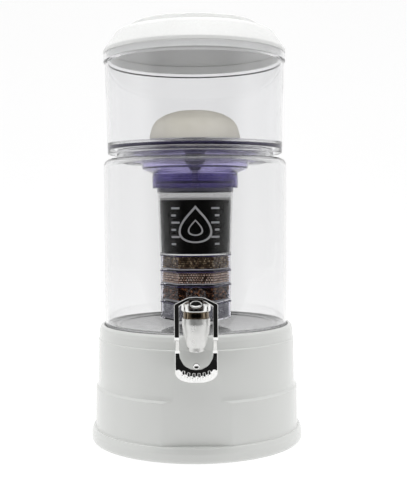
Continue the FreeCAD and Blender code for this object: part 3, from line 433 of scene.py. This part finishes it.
def bar(bm, radius, a, b, seg=40, round_end=0.4):
    """A round bar from a to b with softened ends, in millimetres."""
    a, b = Vector(a), Vector(b)
    length = (b - a).length
    q = (b - a).to_track_quat("Z", "Y")
    prof = [(0, 0), (radius - round_end, 0), (radius - round_end * 0.3, round_end * 0.3), (radius, round_end),
            (radius, length - round_end), (radius - round_end * 0.3, length - round_end * 0.3), (radius - round_end, length), (0, length)]
    rows = []
    for r, z in prof:
        if r == 0:
            rows.append([bm.verts.new((q @ Vector((0, 0, z)) + a) * MM)])
        else:
            rows.append([bm.verts.new((q @ Vector((r * math.cos(2 * math.pi * k / seg), r * math.sin(2 * math.pi * k / seg), z)) + a) * MM) for k in range(seg)])
    for p, s in zip(rows, rows[1:]):
        for k in range(seg):
            k2 = (k + 1) % seg
            if len(p) == 1:
                bm.faces.new((p[0], s[k2], s[k]))
            elif len(s) == 1:
                bm.faces.new((p[k], p[k2], s[0]))
            else:
                bm.faces.new((p[k], p[k2], s[k2], s[k]))


def from_bm(name, bm, mat, body, node=(), sharp=34):
    bmesh.ops.recalc_face_normals(bm, faces=bm.faces)
    me = bpy.data.meshes.new(name)
    bm.to_mesh(me)
    bm.free()
    return finish_mesh(bpy.data.objects.new(name, me), mat, body, node, sharp)


# ---------------------------------------------------------------- stand
FLAT = 131.25


def planed(x, y, z):
    """The front of the stand is planed flat between the foot and the rim line."""
    if 18.95 < z < 138.7 and y < -FLAT:
        y = -FLAT
    return x, y, z


def planed_in(x, y, z):
    if z < 147 and y < -(FLAT - 3):
        y = -(FLAT - 3)
    return x, y, z


def stand_shape(x, y, z):
    return planed(x, y, z) if math.hypot(x, y) > stand_edge(z) else planed_in(x, y, z)


def stand_edge(z):
    return 142.0 if z < 14 else 139.6 if z < 19 else 136.6 if z < 72.3 else 133.8 if z < 76 else 132.0 if z < 138.5 else 130.6


lathe("stand_shell", [
    (142.6, 0.0, 0.8), (144.1, 3.0, 2.5), (144.1, 12.0, 4.0), (141.4, 18.9, 0.6), (139.0, 18.98, 0.5), (138.6, 21.2, 0.8), (138.3, 45.0), (137.9, 72.6, 1.2), (135.0, 75.4, 1.2), (134.4, 80.6, 3.0),
    (133.9, 110.0), (133.5, 137.8, 0.5), (132.3, 139.2, 0.5), (132.3, 148.6, 7.0), (130.9, 154.6, 4.0), (128.2, 157.0, 2.2), (125.7, 157.0, 1.0), (125.7, 148.0, 0.3), (121.0, 148.0, 0.4),
    (121.0, 145.6, 0.4), (129.6, 145.6, 1.2), (129.7, 140.2), (130.5, 138.6), (131.3, 79.6), (134.9, 72.0), (135.6, 20.0), (138.4, 16.9), (141.1, 11.0), (141.1, 3.0), (139.6, 0.0, 0.6)],
    WHITE, "stand", "base_stand", seg=360, shape=stand_shape, sharp=28)

# ---------------------------------------------------------------- tanks and lid
tank = lathe("lower_tank_shell", [
    (0, 151.0), (124.3, 151.0, 6.0), (124.3, 250.0), (124.3, 381.0, 10.0), (98.4, 381.0, 1.6), (98.4, 377.2, 1.2), (120.8, 377.2, 6.4), (120.8, 250.0), (120.8, 156.0, 5.0), (111.5, 156.0, 1.0), (109.8, 157.1, 0.8), (104.6, 157.1, 0.8), (102.9, 156.0, 1.0), (0, 156.0)],
    CLEAR, "lower", "lower_tank", seg=320)
cutter_bm = bmesh.new()
bar(cutter_bm, 8.3, (0, -140, 175), (0, -100, 175), 64, 0.05)
cutter_me = bpy.data.meshes.new("wall_hole")
bmesh.ops.recalc_face_normals(cutter_bm, faces=cutter_bm.faces)
cutter_bm.to_mesh(cutter_me)
cutter_bm.free()
cutter = bpy.data.objects.new("wall_hole", cutter_me)
scene.collection.objects.link(cutter)
mod = tank.modifiers.new("hole", "BOOLEAN")
mod.operation, mod.solver, mod.object = "DIFFERENCE", "EXACT", cutter
dg = bpy.context.evaluated_depsgraph_get()
cut_me = bpy.data.meshes.new_from_object(tank.evaluated_get(dg))
tank.modifiers.clear()
tank.data = cut_me
bpy.data.objects.remove(cutter)
for poly in tank.data.polygons:
    poly.use_smooth = True
tank.data.set_sharp_from_angle(angle=math.radians(34))

lathe("upper_tank_shell", [
    (7.7, 393.5, 0.4), (94.4, 393.5, 0.8), (94.4, 374.6, 0.5), (97.4, 374.6, 0.8), (97.4, 393.5, 0.8), (103.0, 393.5, 0.8), (103.0, 381.0, 0.5), (106.5, 381.0, 0.8), (106.5, 393.5, 0.8),
    (115.3, 393.5, 1.0), (115.3, 387.0, 0.6), (118.5, 387.0, 2.2), (118.9, 398.0), (120.0, 450.0), (121.0, 508.2, 1.2), (123.3, 510.8, 1.6), (123.3, 521.3, 1.3), (118.3, 521.3, 1.3), (117.4, 470.0),
    (115.5, 397.5, 5.0), (7.7, 397.5, 0.4)], CLEAR_UP, "upper", "upper_tank", seg=320)
lathe("lid_shell", [
    (117.2, 521.3, 0.3), (123.4, 521.3, 0.8), (123.4, 525.8, 4.0), (105.5, 551.5, 14.0), (88.0, 553.2, 1.8), (86.0, 561.2, 2.6), (50, 561.9), (0, 562.0),
    (0, 559.4), (50, 559.3), (83.4, 558.6, 2.0), (85.4, 550.6, 1.4), (103.9, 548.9, 11.4), (119.2, 523.9, 1.0), (114.8, 523.9, 0.6), (114.8, 513.5, 0.8), (117.2, 513.5, 0.8)],
    LID, "lid", "lid", seg=320)

# ---------------------------------------------------------------- dome and its fittings
lathe("dome_shell", [
    (61.8, 403.0, 0.8), (61.8, 409.0, 30.0), (58.4, 423.0, 22.0), (52.4, 432.0, 18.0), (40.0, 439.6, 40.0), (24.0, 444.6, 60.0), (0, 446.2), (0, 438.2), (22.0, 436.8, 60), (35.6, 432.4, 30),
    (45.6, 426.0, 16), (50.6, 418.0, 16), (53.8, 409.0, 20), (53.8, 403.0)], CERAMIC, "upper", "ceramic_dome", seg=200)

# ---------------------------------------------------------------- mounting ring
ring = [(7.8, 390.2, 0.4), (7.8, 393.5, 0.4), (94.0, 393.5, 0.8), (94.0, 390.2, 0.8), (87.4, 389.8, 1.5), (85.8, 383.0, 3.0), (73.2, 374.6, 3.0), (71.7, 367.2, 0.6), (58.2, 361.4, 1.0), (58.2, 359.6, 0.3), (55.4, 359.6, 0.4)]
for i in (2, 1, 0):
    z = 350 + 2.9 * i
    ring += [(55.4, z + 2.8, 0.2), (54.5, z + 2.0, 0.3), (55.4, z + 1.2, 0.2)]
ring += [(55.4, 350.0, 0.4), (51.6, 350.0, 0.4), (51.6, 363.0, 1.5), (68.7, 369.8, 2.0), (70.4, 376.0, 2.0), (83.2, 384.6, 2.0), (84.8, 390.2, 1.0)]
lathe("mount_ring_shell", ring, VIOLET, "upper", "mount_ring", seg=256)

# ---------------------------------------------------------------- cartridge: cap, housing, print
lathe("cap_shell", [
    (52.1, 341.0, 0.4), (58.6, 341.0, 0.9), (58.6, 342.6, 0.2), (58.2, 343.0, 0.2), (58.2, 343.5, 0.2), (58.6, 343.9, 0.2), (58.6, 357.2, 0.2), (58.3, 357.6, 0.2), (58.3, 358.0, 0.2), (58.6, 358.4, 0.2), (58.6, 359.3, 0.5), (55.7, 359.3, 0.4),
    (55.7, 344.0, 0.3), (52.1, 344.0, 0.3)], VIOLET_CAP, "cartridge", "cartridge_cap", seg=256)
lathe("housing_shell", [
    (0, 251.1), (49.0, 251.1, 0.9), (52.0, 344.0, 0.3), (55.4, 344.0, 0.3), (55.4, 346.5, 0.4), (49.9, 346.5, 0.4), (47.0, 253.2, 1.0), (0, 253.2)],
    HOUSING, "cartridge", "cartridge_housing", seg=256)
lathe("housing_neck_band", [(51.55, 336.4, 0.2), (52.25, 336.4, 0.25), (52.4, 340.7, 0.3), (51.7, 340.7, 0.2)], NECK_BAND, "cartridge", seg=256)
lathe("housing_neck_line", [(51.4, 335.6, 0.1), (52.3, 335.6, 0.2), (52.3, 336.3, 0.2), (51.4, 336.3, 0.1)], BLACK, "cartridge", seg=256)
lathe("carbon_bed", [(0, 253.3), (46.8, 253.3, 0.6), (48.9, 324.9, 1.2), (24, 324.5), (0, 324.9)], CARBON, "cartridge", "carbon_fill", seg=200)
lathe("top_pad_disc", [(0, 325.0), (48.8, 325.0, 0.8), (48.9, 328.0, 1.2), (30, 328.2), (0, 328.0)], FELT, "cartridge", "top_pad", seg=200)


def on_housing(x, z, lift=0.12):
    """A point of the print, wrapped on the tapered wall of the housing; x is measured along the wall."""
    r = 49.0 + (z - 251.1) / 92.9 * 3.0 + lift
    t = x / r
    return Vector((r * math.sin(t), -r * math.cos(t), z)) * MM


def drop_outline(cx, cz, size, n=72):
    pts = []
    for k in range(n):
        t = 2 * math.pi * k / n
        w = math.sin(t) * math.sin(t / 2) ** 1.35
        pts.append((cx + size * 0.5 * 1.28 * w, cz + size * 0.5 * math.cos(t)))
    return pts


def printed_band(bm, outer, inner):
    n = len(outer)
    a = [bm.verts.new(on_housing(*p)) for p in outer]
    b = [bm.verts.new(on_housing(*p)) for p in inner]
    a2 = [bm.verts.new(on_housing(p[0], p[1], 0.03)) for p in outer]
    b2 = [bm.verts.new(on_housing(p[0], p[1], 0.03)) for p in inner]
    for k in range(n):
        j = (k + 1) % n
        bm.faces.new((a[k], a[j], b[j], b[k]))
        bm.faces.new((a2[k], b2[k], b2[j], a2[j]))
        bm.faces.new((a[k], a2[k], a2[j], a[j]))
        bm.faces.new((b[k], b[j], b2[j], b2[k]))


bm = bmesh.new()
printed_band(bm, drop_outline(0.0, 293.0, 50.0), drop_outline(0.0, 292.0, 43.5))
printed_band(bm, drop_outline(0.0, 288.5, 22.0), drop_outline(0.0, 288.2, 17.5))
n = 14
for side in (-1, 1):
    for row, z in enumerate((314.0, 304.5, 295.0, 285.5, 276.0, 266.5)):
        long_bar = 13.0 if row % 2 == 0 else 7.5
        x0, x1 = side * (34.5 - long_bar), side * 34.5
        flat = [x0 + (x1 - x0) * k / (n - 1) for k in range(n)]
        outer = [(x, z - 1.3) for x in flat] + [(x, z + 1.3) for x in flat[::-1]]
        inner = [(x, z - 0.05) for x in flat] + [(x, z + 0.05) for x in flat[::-1]]
        printed_band(bm, outer, inner)
from_bm("housing_print", bm, PRINT, "cartridge")

# ---------------------------------------------------------------- hexagonal stages
LEVELS = [("a", 229.7, 251.1), ("b", 210.2, 229.7), ("c", 187.1, 210.2), ("d", 163.0, 187.1)]
FILL = {"a": ("zeolite_fill", BROWN, "brown_granules", 3.0, 0.30), "b": ("ceramic_balls", BEADS, "tan_beads", 2.7, 0.03),
        "c": ("mineral_fill", RED, "red_granules", 3.0, 0.30), "d": ("quartz_fill", PALE, "pale_granules", 2.6, 0.22)}


def tray(tag, low, high):
    rim = 1.8
    o = lambda c: hex_outline(c, 3.0)
    i = lambda c: hex_outline(c, 2.4)
    rings = [(o(47.9), low), (o(48.5), low + 0.6), (o(48.5), high - rim - 0.3), (o(49.5), high - rim), (o(49.5), high - 0.4), (o(49.1), high),
             (i(46.7), high), (i(46.3), high - 0.4), (i(46.3), low + 1.8)]
    ob = prism("tray_%s_shell" % tag, rings, LILAC, "cartridge", "stage_tray_" + tag)
    ob.data.materials.append(LILAC_RIM)
    for poly in ob.data.polygons:
        if poly.center.z > (high - 2.2) * MM and abs(poly.normal.z) < 0.95:
            poly.material_index = 1


def ball(level):
    b = bmesh.new()
    bmesh.ops.create_icosphere(b, subdivisions=level, radius=0.5)
    verts = [v.co.copy() for v in b.verts]
    faces = [[v.index for v in f.verts] for f in b.faces]
    b.free()
    return verts, faces


BALLS = {True: ball(2), False: ball(1)}


def filling(tag, low, high):
    """Rows of granules against the tray's six walls, laid on a plain core whose darkest tone is painted shade between
    them.
    """
    name, mat, slot_name, size, rough = FILL[tag]
    z0, z1 = low + 3.3, high - 0.5
    rnd = random.Random(100 + ord(tag))
    verts, faces, tones_and_gap_shade = [], [], []
    unit, tris = BALLS[tag == "b"]
    inset = size * 0.52
    apothem = 46.1 * math.cos(math.pi / 6) - inset
    gap = 1.26 if tag == "b" else 1.0
    rows = int((z1 - z0) / (size * 0.9 * gap))
    pitch = (z1 - z0 - size) / max(1, rows - 1)
    side = 2 * apothem / math.sqrt(3)
    for f in range(6):
        ang = math.radians(60 * f + 30)
        nrm, tan = Vector((math.cos(ang), math.sin(ang), 0)), Vector((-math.sin(ang), math.cos(ang), 0))
        count = int(side / (size * gap))
        for row in range(rows):
            for k in range(count):
                along = -side / 2 + side * (k + 0.5 + (0.25 if row % 2 else -0.25)) / count
                jit = rough * 1.2
                p = nrm * (apothem - abs(rnd.gauss(0, jit * 0.9))) + tan * (along + rnd.uniform(-jit, jit))
                z = z0 + size / 2 + pitch * row + rnd.uniform(-jit, jit) * 0.6
                s = size * rnd.uniform(1 - rough * 0.8, 1 + rough * 0.25)
                z = min(max(z, z0 + s / 2), z1 - s / 2)
                turn = Euler((rnd.uniform(0, 6.28), rnd.uniform(0, 6.28), rnd.uniform(0, 6.28))).to_matrix()
                sq = [1 + rnd.uniform(-rough, rough) for _ in range(3)]
                tone = min(1.0, max(0.0, rnd.gauss(0.5, 0.13 if tag == "b" else 0.22)))
                base = len(verts)
                for u in unit:
                    q = Vector((u.x * sq[0], u.y * sq[1], u.z * sq[2])) * (s * (1 + rnd.uniform(-rough, rough) * 0.45))
                    q = turn @ q
                    verts.append(((p.x + q.x) * MM, (p.y + q.y) * MM, (z + q.z) * MM))
                    tones_and_gap_shade.append(tone)
                faces += [[base + i for i in t] for t in tris]
    # the core's tone 0 gives it each ramp's darkest colour: painted shade in the gaps between granules
    core = hex_outline(46.1 - size * 1.05, 2.0)
    n, base = len(core), len(verts)
    for z in (z0, z1):
        verts += [(x * MM, y * MM, z * MM) for x, y in core]
        tones_and_gap_shade += [0.0] * n
    faces += [[base + k, base + (k + 1) % n, base + n + (k + 1) % n, base + n + k] for k in range(n)]
    faces += [[base + k for k in range(n)][::-1], [base + n + k for k in range(n)]]
    me = bpy.data.meshes.new(name + "_grains")
    me.from_pydata(verts, [], faces)
    me.attributes.new("grain", "FLOAT", "POINT").data.foreach_set("value", tones_and_gap_shade)
    ob = bpy.data.objects.new(name + "_grains", me)
    finish_mesh(ob, mat, "cartridge", name, sharp=60 if tag == "b" else 25)


for tag, low, high in LEVELS:
    tray(tag, low, high)
    filling(tag, low, high)

# ---------------------------------------------------------------- tap
TY = -179.0
tap_body = lathe("tap_barrel", [
    (7.0, 145.5, 0.3), (8.3, 145.5, 0.5), (8.8, 146.4, 0.6), (8.8, 150.6, 0.3), (10.3, 150.6, 0.5), (10.9, 151.6, 0.8), (13.1, 158.6, 14.0), (15.5, 168.0, 24.0), (16.9, 178.5, 14.0), (16.6, 185.3, 0.5),
    (12.0, 185.3, 0.3), (12.0, 166.0, 0.3), (5.0, 166.0, 0.3), (5.0, 162.0, 0.3), (7.0, 162.0, 0.3)], SATIN, "lower", "tap_body", seg=160, centre=(0, TY))


def lathe_y(name, points, mat, body, node=(), seg=96, z=175.0):
    """A closed body turned about the shank's axis; points are (radius, y)."""
    me = lathe_mesh(name, soften([(r, -y, *rest) for r, y, *rest in points]), seg)
    me.transform(Matrix.Translation((0, 0, z * MM)) @ Matrix.Rotation(math.radians(90), 4, "X"))
    return finish_mesh(bpy.data.objects.new(name, me), mat, body, node)


lathe_y("tap_shank_tube", [
    (5.4, -166.5), (9.9, -168.5), (9.4, -152.0, 6.0), (9.2, -140.0, 3.0), (14.4, -138.0, 1.0), (15.2, -136.6, 0.6), (15.2, -133.0, 0.5), (8.0, -133.0, 0.2)]
    + [p for i in range(13) for p in ((8.0, -131.6 + 2.1 * i), (7.45, -130.9 + 2.1 * i), (8.0, -130.2 + 2.1 * i))]
    + [(7.6, -104.0, 0.3), (5.4, -104.0, 0.3)], CHROME, "lower")
# the collar's dark streaked colour is a painted reflection of the dark room
lathe("tap_collar_ring", [(12.0, 185.3), (15.8, 185.3, 0.5), (15.8, 186.6, 0.2), (15.5, 186.9, 0.2), (15.5, 192.1, 0.2), (15.8, 192.4, 0.2), (15.8, 193.7, 0.5), (12.0, 193.7)],
      COLLAR_PAINTED_REFLECTION, "lower", "tap_collar", seg=160, centre=(0, TY))

# bonnet: turned cap with the lever's slot between two ears
bonnet_me = lathe_mesh("bonnet_cap", soften([(3.08, 190.0), (8.2, 190.0), (8.2, 179.0), (12.0, 179.0), (12.0, 193.7), (17.0, 193.7, 0.6), (17.4, 194.6, 0.5), (17.4, 203.6, 3.0), (3.08, 203.6)]), 160, (0, TY))
bonnet = bpy.data.objects.new("bonnet_cap", bonnet_me)
finish_mesh(bonnet, CHROME, "lower", "tap_bonnet")
cut_bm = bmesh.new()
bevel_box(cut_bm, (-8.6, -200, 195.8), (8.6, -158, 207), 0.8)
bmesh.ops.recalc_face_normals(cut_bm, faces=cut_bm.faces)
cut_me = bpy.data.meshes.new("slot")
cut_bm.to_mesh(cut_me)
cut_bm.free()
cutter = bpy.data.objects.new("slot", cut_me)
scene.collection.objects.link(cutter)
mod = bonnet.modifiers.new("slot", "BOOLEAN")
mod.operation, mod.solver, mod.object = "DIFFERENCE", "EXACT", cutter
bev = bonnet.modifiers.new("edge", "BEVEL")
bev.width, bev.segments, bev.limit_method, bev.angle_limit = 0.35 * MM, 2, "ANGLE", math.radians(50)
dg = bpy.context.evaluated_depsgraph_get()
made = bpy.data.meshes.new_from_object(bonnet.evaluated_get(dg))
bonnet.modifiers.clear()
bonnet.data = made
bpy.data.objects.remove(cutter)
for poly in bonnet.data.polygons:
    poly.use_smooth = True
bonnet.data.set_sharp_from_angle(angle=math.radians(34))

lathe("valve_rod", [(0, 169.0), (7.0, 169.0, 0.4), (7.0, 173.4, 0.6), (3.0, 173.4, 0.2), (3.0, 203.5, 0.2), (6.5, 203.5, 0.3), (6.5, 205.5, 0.4), (5.3, 206.3, 0.6), (2.2, 206.3, 0.2), (1.6, 205.7, 0.2), (0, 205.7)],
      STEEL, "valve", "valve_stem", seg=96, centre=(0, TY))


# lever: a loop of rounded section between an outer and an inner outline, bent back behind the spout
def smooth_step(t):
    t = max(0.0, min(1.0, t))
    return t * t * (3 - 2 * t)


def front_y(z):
    """Front surface of the lever, at each height."""
    t = max(0.0, min(1.0, (162.8 - z) / 21.2))
    e = 0.16                                  # share of the bend that is rounded at each end
    if t < e:
        t = t * t / (2 * e)
    elif t > 1 - e:
        t = 1 - e - (1 - t) * (1 - t) / (2 * e)
    else:
        t = t - e / 2
    return -190.6 + (190.6 - 161.2) * t / (1 - e)


def loop_half(points, steps):
    """Resample an open half outline (from bottom centre to top centre) to a number of points."""
    lengths = [0.0]
    for a, b in zip(points, points[1:]):
        lengths.append(lengths[-1] + math.dist(a, b))
    out = []
    for k in range(steps + 1):
        want = lengths[-1] * k / steps
        for i in range(len(points) - 1):
            if want <= lengths[i + 1] + 1e-9:
                f = (want - lengths[i]) / max(1e-9, lengths[i + 1] - lengths[i])
                out.append((points[i][0] + (points[i + 1][0] - points[i][0]) * f, points[i][1] + (points[i + 1][1] - points[i][1]) * f))
                break
    return out


def open_soft(points):
    """Round the marked corners of an open outline."""
    ends = [points[0][:2], points[-1][:2]]
    closed = [(*points[0][:2],)] + points[1:-1] + [(*points[-1][:2],)]
    return soften(closed, 6.0) if ends else closed


outer_half = open_soft([(0.0, 104.2), (9.0, 104.4, 20), (19.5, 107.2, 12), (25.6, 114.0, 8), (25.6, 202.4, 3.0), (9.2, 210.6, 16), (0.0, 211.3)])
inner_half = open_soft([(0.0, 120.8), (6.0, 121.2, 10), (14.5, 125.6, 10), (19.6, 135.0, 9), (19.6, 200.2, 2.6), (9.2, 206.0, 14), (0.0, 206.8)])


def keyed(half):
    """Split a half outline at the arm's ends so that outer and inner points face each other."""
    low = [p for p in half if p[1] <= 140.0]
    low.append((low[-1][0], 140.0))
    mid = [(low[-1][0], 140.0), (low[-1][0], 198.0)]
    top = [(low[-1][0], 198.0)] + [p for p in half if p[1] > 198.0]
    return loop_half(low, 34)[:-1] + loop_half(mid, 40)[:-1] + loop_half(top, 26)


outer_r, inner_r = keyed(outer_half), keyed(inner_half)
full_outer = outer_r + [(-x, z) for x, z in outer_r[-2:0:-1]]
full_inner = inner_r + [(-x, z) for x, z in inner_r[-2:0:-1]]
THICK = 4.4


def section(o, i, crown=0.0):
    """Points round the lever's section from the outer edge over the front to the inner edge and back."""
    width = math.dist(o, i)
    b = min(1.0, width * 0.2)
    pts = []
    across = [0.0, b * 0.12, b * 0.45, b, width * 0.33, width * 0.5, width * 0.67, width - b, width - b * 0.45, width - b * 0.12, width]
    depth = [b, b * 0.45, b * 0.12, 0.0, -crown * 0.8, -crown, -crown * 0.8, 0.0, b * 0.12, b * 0.45, b]
    for a, d in zip(across, depth):
        pts.append((a / width, d))
    for a, d in list(zip(across, depth))[::-1]:
        pts.append((a / width, THICK - d))
    return pts


bm = bmesh.new()
rings = []
for o, i in zip(full_outer, full_inner):
    ring_pts = []
    low_end = smooth_step((128.0 - o[1]) / 12.0)
    for f, d in section(o, i, 0.9 * low_end):
        x, z = o[0] + (i[0] - o[0]) * f, o[1] + (i[1] - o[1]) * f
        thick_gain = 0.0
        y = front_y(z) + d
        if z < 140:
            y -= 0.0
        ring_pts.append(bm.verts.new((x * MM, y * MM, z * MM)))
    rings.append(ring_pts)
for a, b in zip(rings, rings[1:] + rings[:1]):
    m = len(a)
    for k in range(m):
        bm.faces.new((a[k], a[(k + 1) % m], b[(k + 1) % m], b[k]))
from_bm("lever_loop", bm, CHROME, "lever", "tap_lever", sharp=50)

bm = bmesh.new()
# round tab on the inner edge, with a shallow dished face
rows = []
for r, y in ((0, -161.0), (1.6, -160.9), (2.6, -161.3), (3.2, -161.7), (3.8, -161.4), (4.0, -160.9), (4.0, -157.6), (3.6, -157.2), (0, -157.2)):
    if r == 0:
        rows.append([bm.verts.new((0, y * MM, 124.6 * MM))])
    else:
        rows.append([bm.verts.new((r * math.cos(2 * math.pi * k / 48) * MM, y * MM, (124.6 + r * math.sin(2 * math.pi * k / 48)) * MM)) for k in range(48)])
for p, s in zip(rows, rows[1:]):
    for k in range(48):
        k2 = (k + 1) % 48
        if len(p) == 1:
            bm.faces.new((p[0], s[k2], s[k]))
        elif len(s) == 1:
            bm.faces.new((p[k], p[k2], s[0]))
        else:
            bm.faces.new((p[k], p[k2], s[k2], s[k]))
# plain grip ribs across the paddle
for x, z0, z1 in ((-15.6, 111.4, 119.6), (-9.4, 108.8, 117.4), (-3.1, 107.8, 116.6), (3.1, 107.8, 116.6), (9.4, 108.8, 117.4), (15.6, 111.4, 119.6)):
    bar(bm, 2.3, (x, -160.9, z0 - 1.6), (x, -160.9, z1), 28, 1.4)
    bar(bm, 1.4, (x - 2.0, -161.7, z0 + 1.6), (x + 2.0, -161.7, z0 + 4.6), 20, 0.9)
    bar(bm, 1.2, (x - 1.8, -161.5, z1 - 1.2), (x + 1.8, -161.5, z1 - 3.4), 20, 0.8)
from_bm("lever_tab_and_ribs", bm, CHROME, "lever")

bm = bmesh.new()
bevel_box(bm, (-8.2, -198.4, 198.0), (8.2, -186.0, 209.4), 1.3, segs=4)
bar(bm, 4.0, (-8.2, -188, 200.5), (8.2, -188, 200.5), 48, 0.5)
for s in (-1, 1):
    bevel_box(bm, (min(s * 3.9, s * 7.9), -187.0, 199.0), (max(s * 3.9, s * 7.9), -178.6, 202.5), 0.5)
    bar(bm, 2.0, (s * 3.9, -179, 201.2), (s * 7.9, -179, 201.2), 32, 0.3)
from_bm("lever_hub", bm, DARK_PLATE, "lever")

# oval button: a domed plate in a raised rim
bm = bmesh.new()
rows = []
for f, y in ((0.0, -199.5), (0.35, -199.45), (0.62, -199.3), (0.78, -199.0), (0.82, -198.95), (0.86, -199.5), (0.92, -199.85), (0.97, -199.75), (1.0, -199.4), (1.0, -198.3), (0.0, -198.3)):
    if f == 0:
        rows.append([bm.verts.new((0, y * MM, 203.3 * MM))])
    else:
        rows.append([bm.verts.new((7.3 * f * math.cos(2 * math.pi * k / 72) * MM, y * MM, (203.3 + 4.3 * f * math.sin(2 * math.pi * k / 72)) * MM)) for k in range(72)])
for p, s in zip(rows, rows[1:]):
    for k in range(72):
        k2 = (k + 1) % 72
        if len(p) == 1:
            bm.faces.new((p[0], s[k2], s[k]))
        elif len(s) == 1:
            bm.faces.new((p[k], p[k2], s[0]))
        else:
            bm.faces.new((p[k], p[k2], s[k2], s[k]))
from_bm("oval_button", bm, CHROME, "lever", "lever_button", sharp=60)

# ---------------------------------------------------------------- materials of the carried-over nodes
# stand_deck takes the brighter deck white: painted light for the shade under the tank
KEEP = {"tap_nut": STEEL, "lever_pin": STEEL, "valve_spring": STEEL, "tap_gasket_outer": RUBBER, "tap_gasket_inner": RUBBER, "valve_seal": RUBBER,
        "dome_washer": RUBBER, "floor_washer": RUBBER, "cap_seal": BLACK, "dome_base": DOME_PLASTIC, "dome_stem": DOME_PLASTIC, "stem_nut": BLACK,
        "stage_felt_a": FELT, "stage_felt_b": FELT, "stage_felt_c": FELT, "stage_felt_d": FELT, "stand_deck": DECK_PAINTED_LIGHT, "stand_brace": WHITE}
for name, mat in KEEP.items():
    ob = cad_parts.get(name)
    if ob is None:
        continue
    if not ob.material_slots:
        ob.data.materials.append(mat)
    for s in ob.material_slots:
        s.material = mat

# ---------------------------------------------------------------- stage and light
def emissive(name, colour, diffuse, strength):
    m, nt, p, out = new_mat(name)
    p.inputs["Base Color"].default_value = (*diffuse, 1)
    p.inputs["Roughness"].default_value = 0.9
    p.inputs["Specular IOR Level"].default_value = 0.1
    p.inputs["Emission Color"].default_value = (*colour, 1)
    p.inputs["Emission Strength"].default_value = strength
    return m


def sweep_mesh(name, path, half):
    bm = bmesh.new()
    a = [bm.verts.new((-half, y, z)) for y, z in path]
    b = [bm.verts.new((half, y, z)) for y, z in path]
    for k in range(len(path) - 1):
        bm.faces.new((a[k], b[k], b[k + 1], a[k + 1]))
    me = bpy.data.meshes.new(name)
    bm.to_mesh(me)
    bm.free()
    for poly in me.polygons:
        poly.use_smooth = True
    ob = bpy.data.objects.new(name, me)
    scene.collection.objects.link(ob)
    return ob


path = [(-0.78, 0.0), (1.2, 0.0)]
for k in range(1, 13):
    t = math.pi / 2 * k / 12
    path.append((1.2 + 0.7 * math.sin(t), 0.7 - 0.7 * math.cos(t)))
path.append((1.9, 3.2))
floor = sweep_mesh("floor", path, 3.2)
floor.location.z = -0.0003
floor.data.materials.append(emissive("paper", (1, 1, 1), (0.28, 0.28, 0.28), 0.80))

world = bpy.data.worlds.new("studio")
scene.world = world
world.use_nodes = True
wn = world.node_tree
for n in list(wn.nodes):
    wn.nodes.remove(n)
wo = wn.nodes.new("ShaderNodeOutputWorld")
bg = wn.nodes.new("ShaderNodeBackground")
tc = wn.nodes.new("ShaderNodeTexCoord")
sep = wn.nodes.new("ShaderNodeSeparateXYZ")
wn.links.new(tc.outputs["Generated"], sep.inputs[0])
def world_range(src, lo, hi, to_lo, to_hi):
    m = wn.nodes.new("ShaderNodeMapRange")
    m.interpolation_type = "SMOOTHSTEP"
    m.inputs["From Min"].default_value, m.inputs["From Max"].default_value = lo, hi
    m.inputs["To Min"].default_value, m.inputs["To Max"].default_value = to_lo, to_hi
    wn.links.new(src, m.inputs["Value"])
    return m.outputs[0]


def world_math(op, a, b):
    m = wn.nodes.new("ShaderNodeMath")
    m.operation = op
    for i, v in enumerate((a, b)):
        if isinstance(v, (int, float)):
            m.inputs[i].default_value = v
        else:
            wn.links.new(v, m.inputs[i])
    return m.outputs[0]


# a light tent: bright behind, at the sides and above, with the dark room showing where the camera looks in
around = world_range(sep.outputs["Y"], -0.26, -0.80, 0.90, 0.012)
above = world_range(sep.outputs["Z"], 0.40, 0.92, 0.0, 1.05)
tent = world_math("MAXIMUM", world_math("ADD", around, world_range(sep.outputs["Y"], 0.2, 0.7, 0.0, 0.22)), above)
seen = wn.nodes.new("ShaderNodeLightPath")
onward = world_math("LESS_THAN", seen.outputs["Glossy Depth"], 0.5)
direct = world_math("MAXIMUM", seen.outputs["Is Camera Ray"], world_math("MULTIPLY", onward, seen.outputs["Is Transmission Ray"]))
keep = world_math("SUBTRACT", 1.0, direct)
wn.links.new(world_math("ADD", world_math("MULTIPLY", tent, keep), world_math("MULTIPLY", direct, 1.05)), bg.inputs["Strength"])
bg.inputs["Color"].default_value = (1.0, 1.0, 1.0, 1)
wn.links.new(bg.outputs[0], wo.inputs[0])


def area(name, where, aim, size, power, colour=(1, 1, 1)):
    d = bpy.data.lights.new(name, "AREA")
    d.shape = "RECTANGLE"
    d.size, d.size_y = size
    d.energy = power
    d.color = colour
    o = bpy.data.objects.new(name, d)
    scene.collection.objects.link(o)
    o.location = where
    o.rotation_mode = "QUATERNION"
    o.rotation_quaternion = (Vector(aim) - Vector(where)).to_track_quat("-Z", "Y")
    o.visible_glossy = False
    o.visible_transmission = False
    return o


area("top", (0, -0.34, 1.85), (0, 0, 0.35), (0.7, 0.45), 10.5)
beam = bpy.data.lights.new("upper_fill", "SPOT")
beam.energy, beam.spot_size, beam.spot_blend, beam.shadow_soft_size = 32.0, math.radians(17), 1.0, 0.16
lamp = bpy.data.objects.new("upper_fill", beam)
scene.collection.objects.link(lamp)
lamp.location = (0, -1.5, 0.62)
lamp.rotation_mode = "QUATERNION"
lamp.rotation_quaternion = (Vector((0, 0, 0.43)) - Vector((0, -1.5, 0.62))).to_track_quat("-Z", "Y")
lamp.visible_glossy = False
lamp.visible_transmission = False

scene.view_settings.view_transform = "Standard"
scene.view_settings.look = "None"
scene.cycles.max_bounces = 24
scene.cycles.transmission_bounces = 24
scene.cycles.transparent_max_bounces = 24
scene.cycles.glossy_bounces = 8
scene.cycles.diffuse_bounces = 4
scene.cycles.use_denoising = True
scene.cycles.sample_clamp_indirect = 6.0
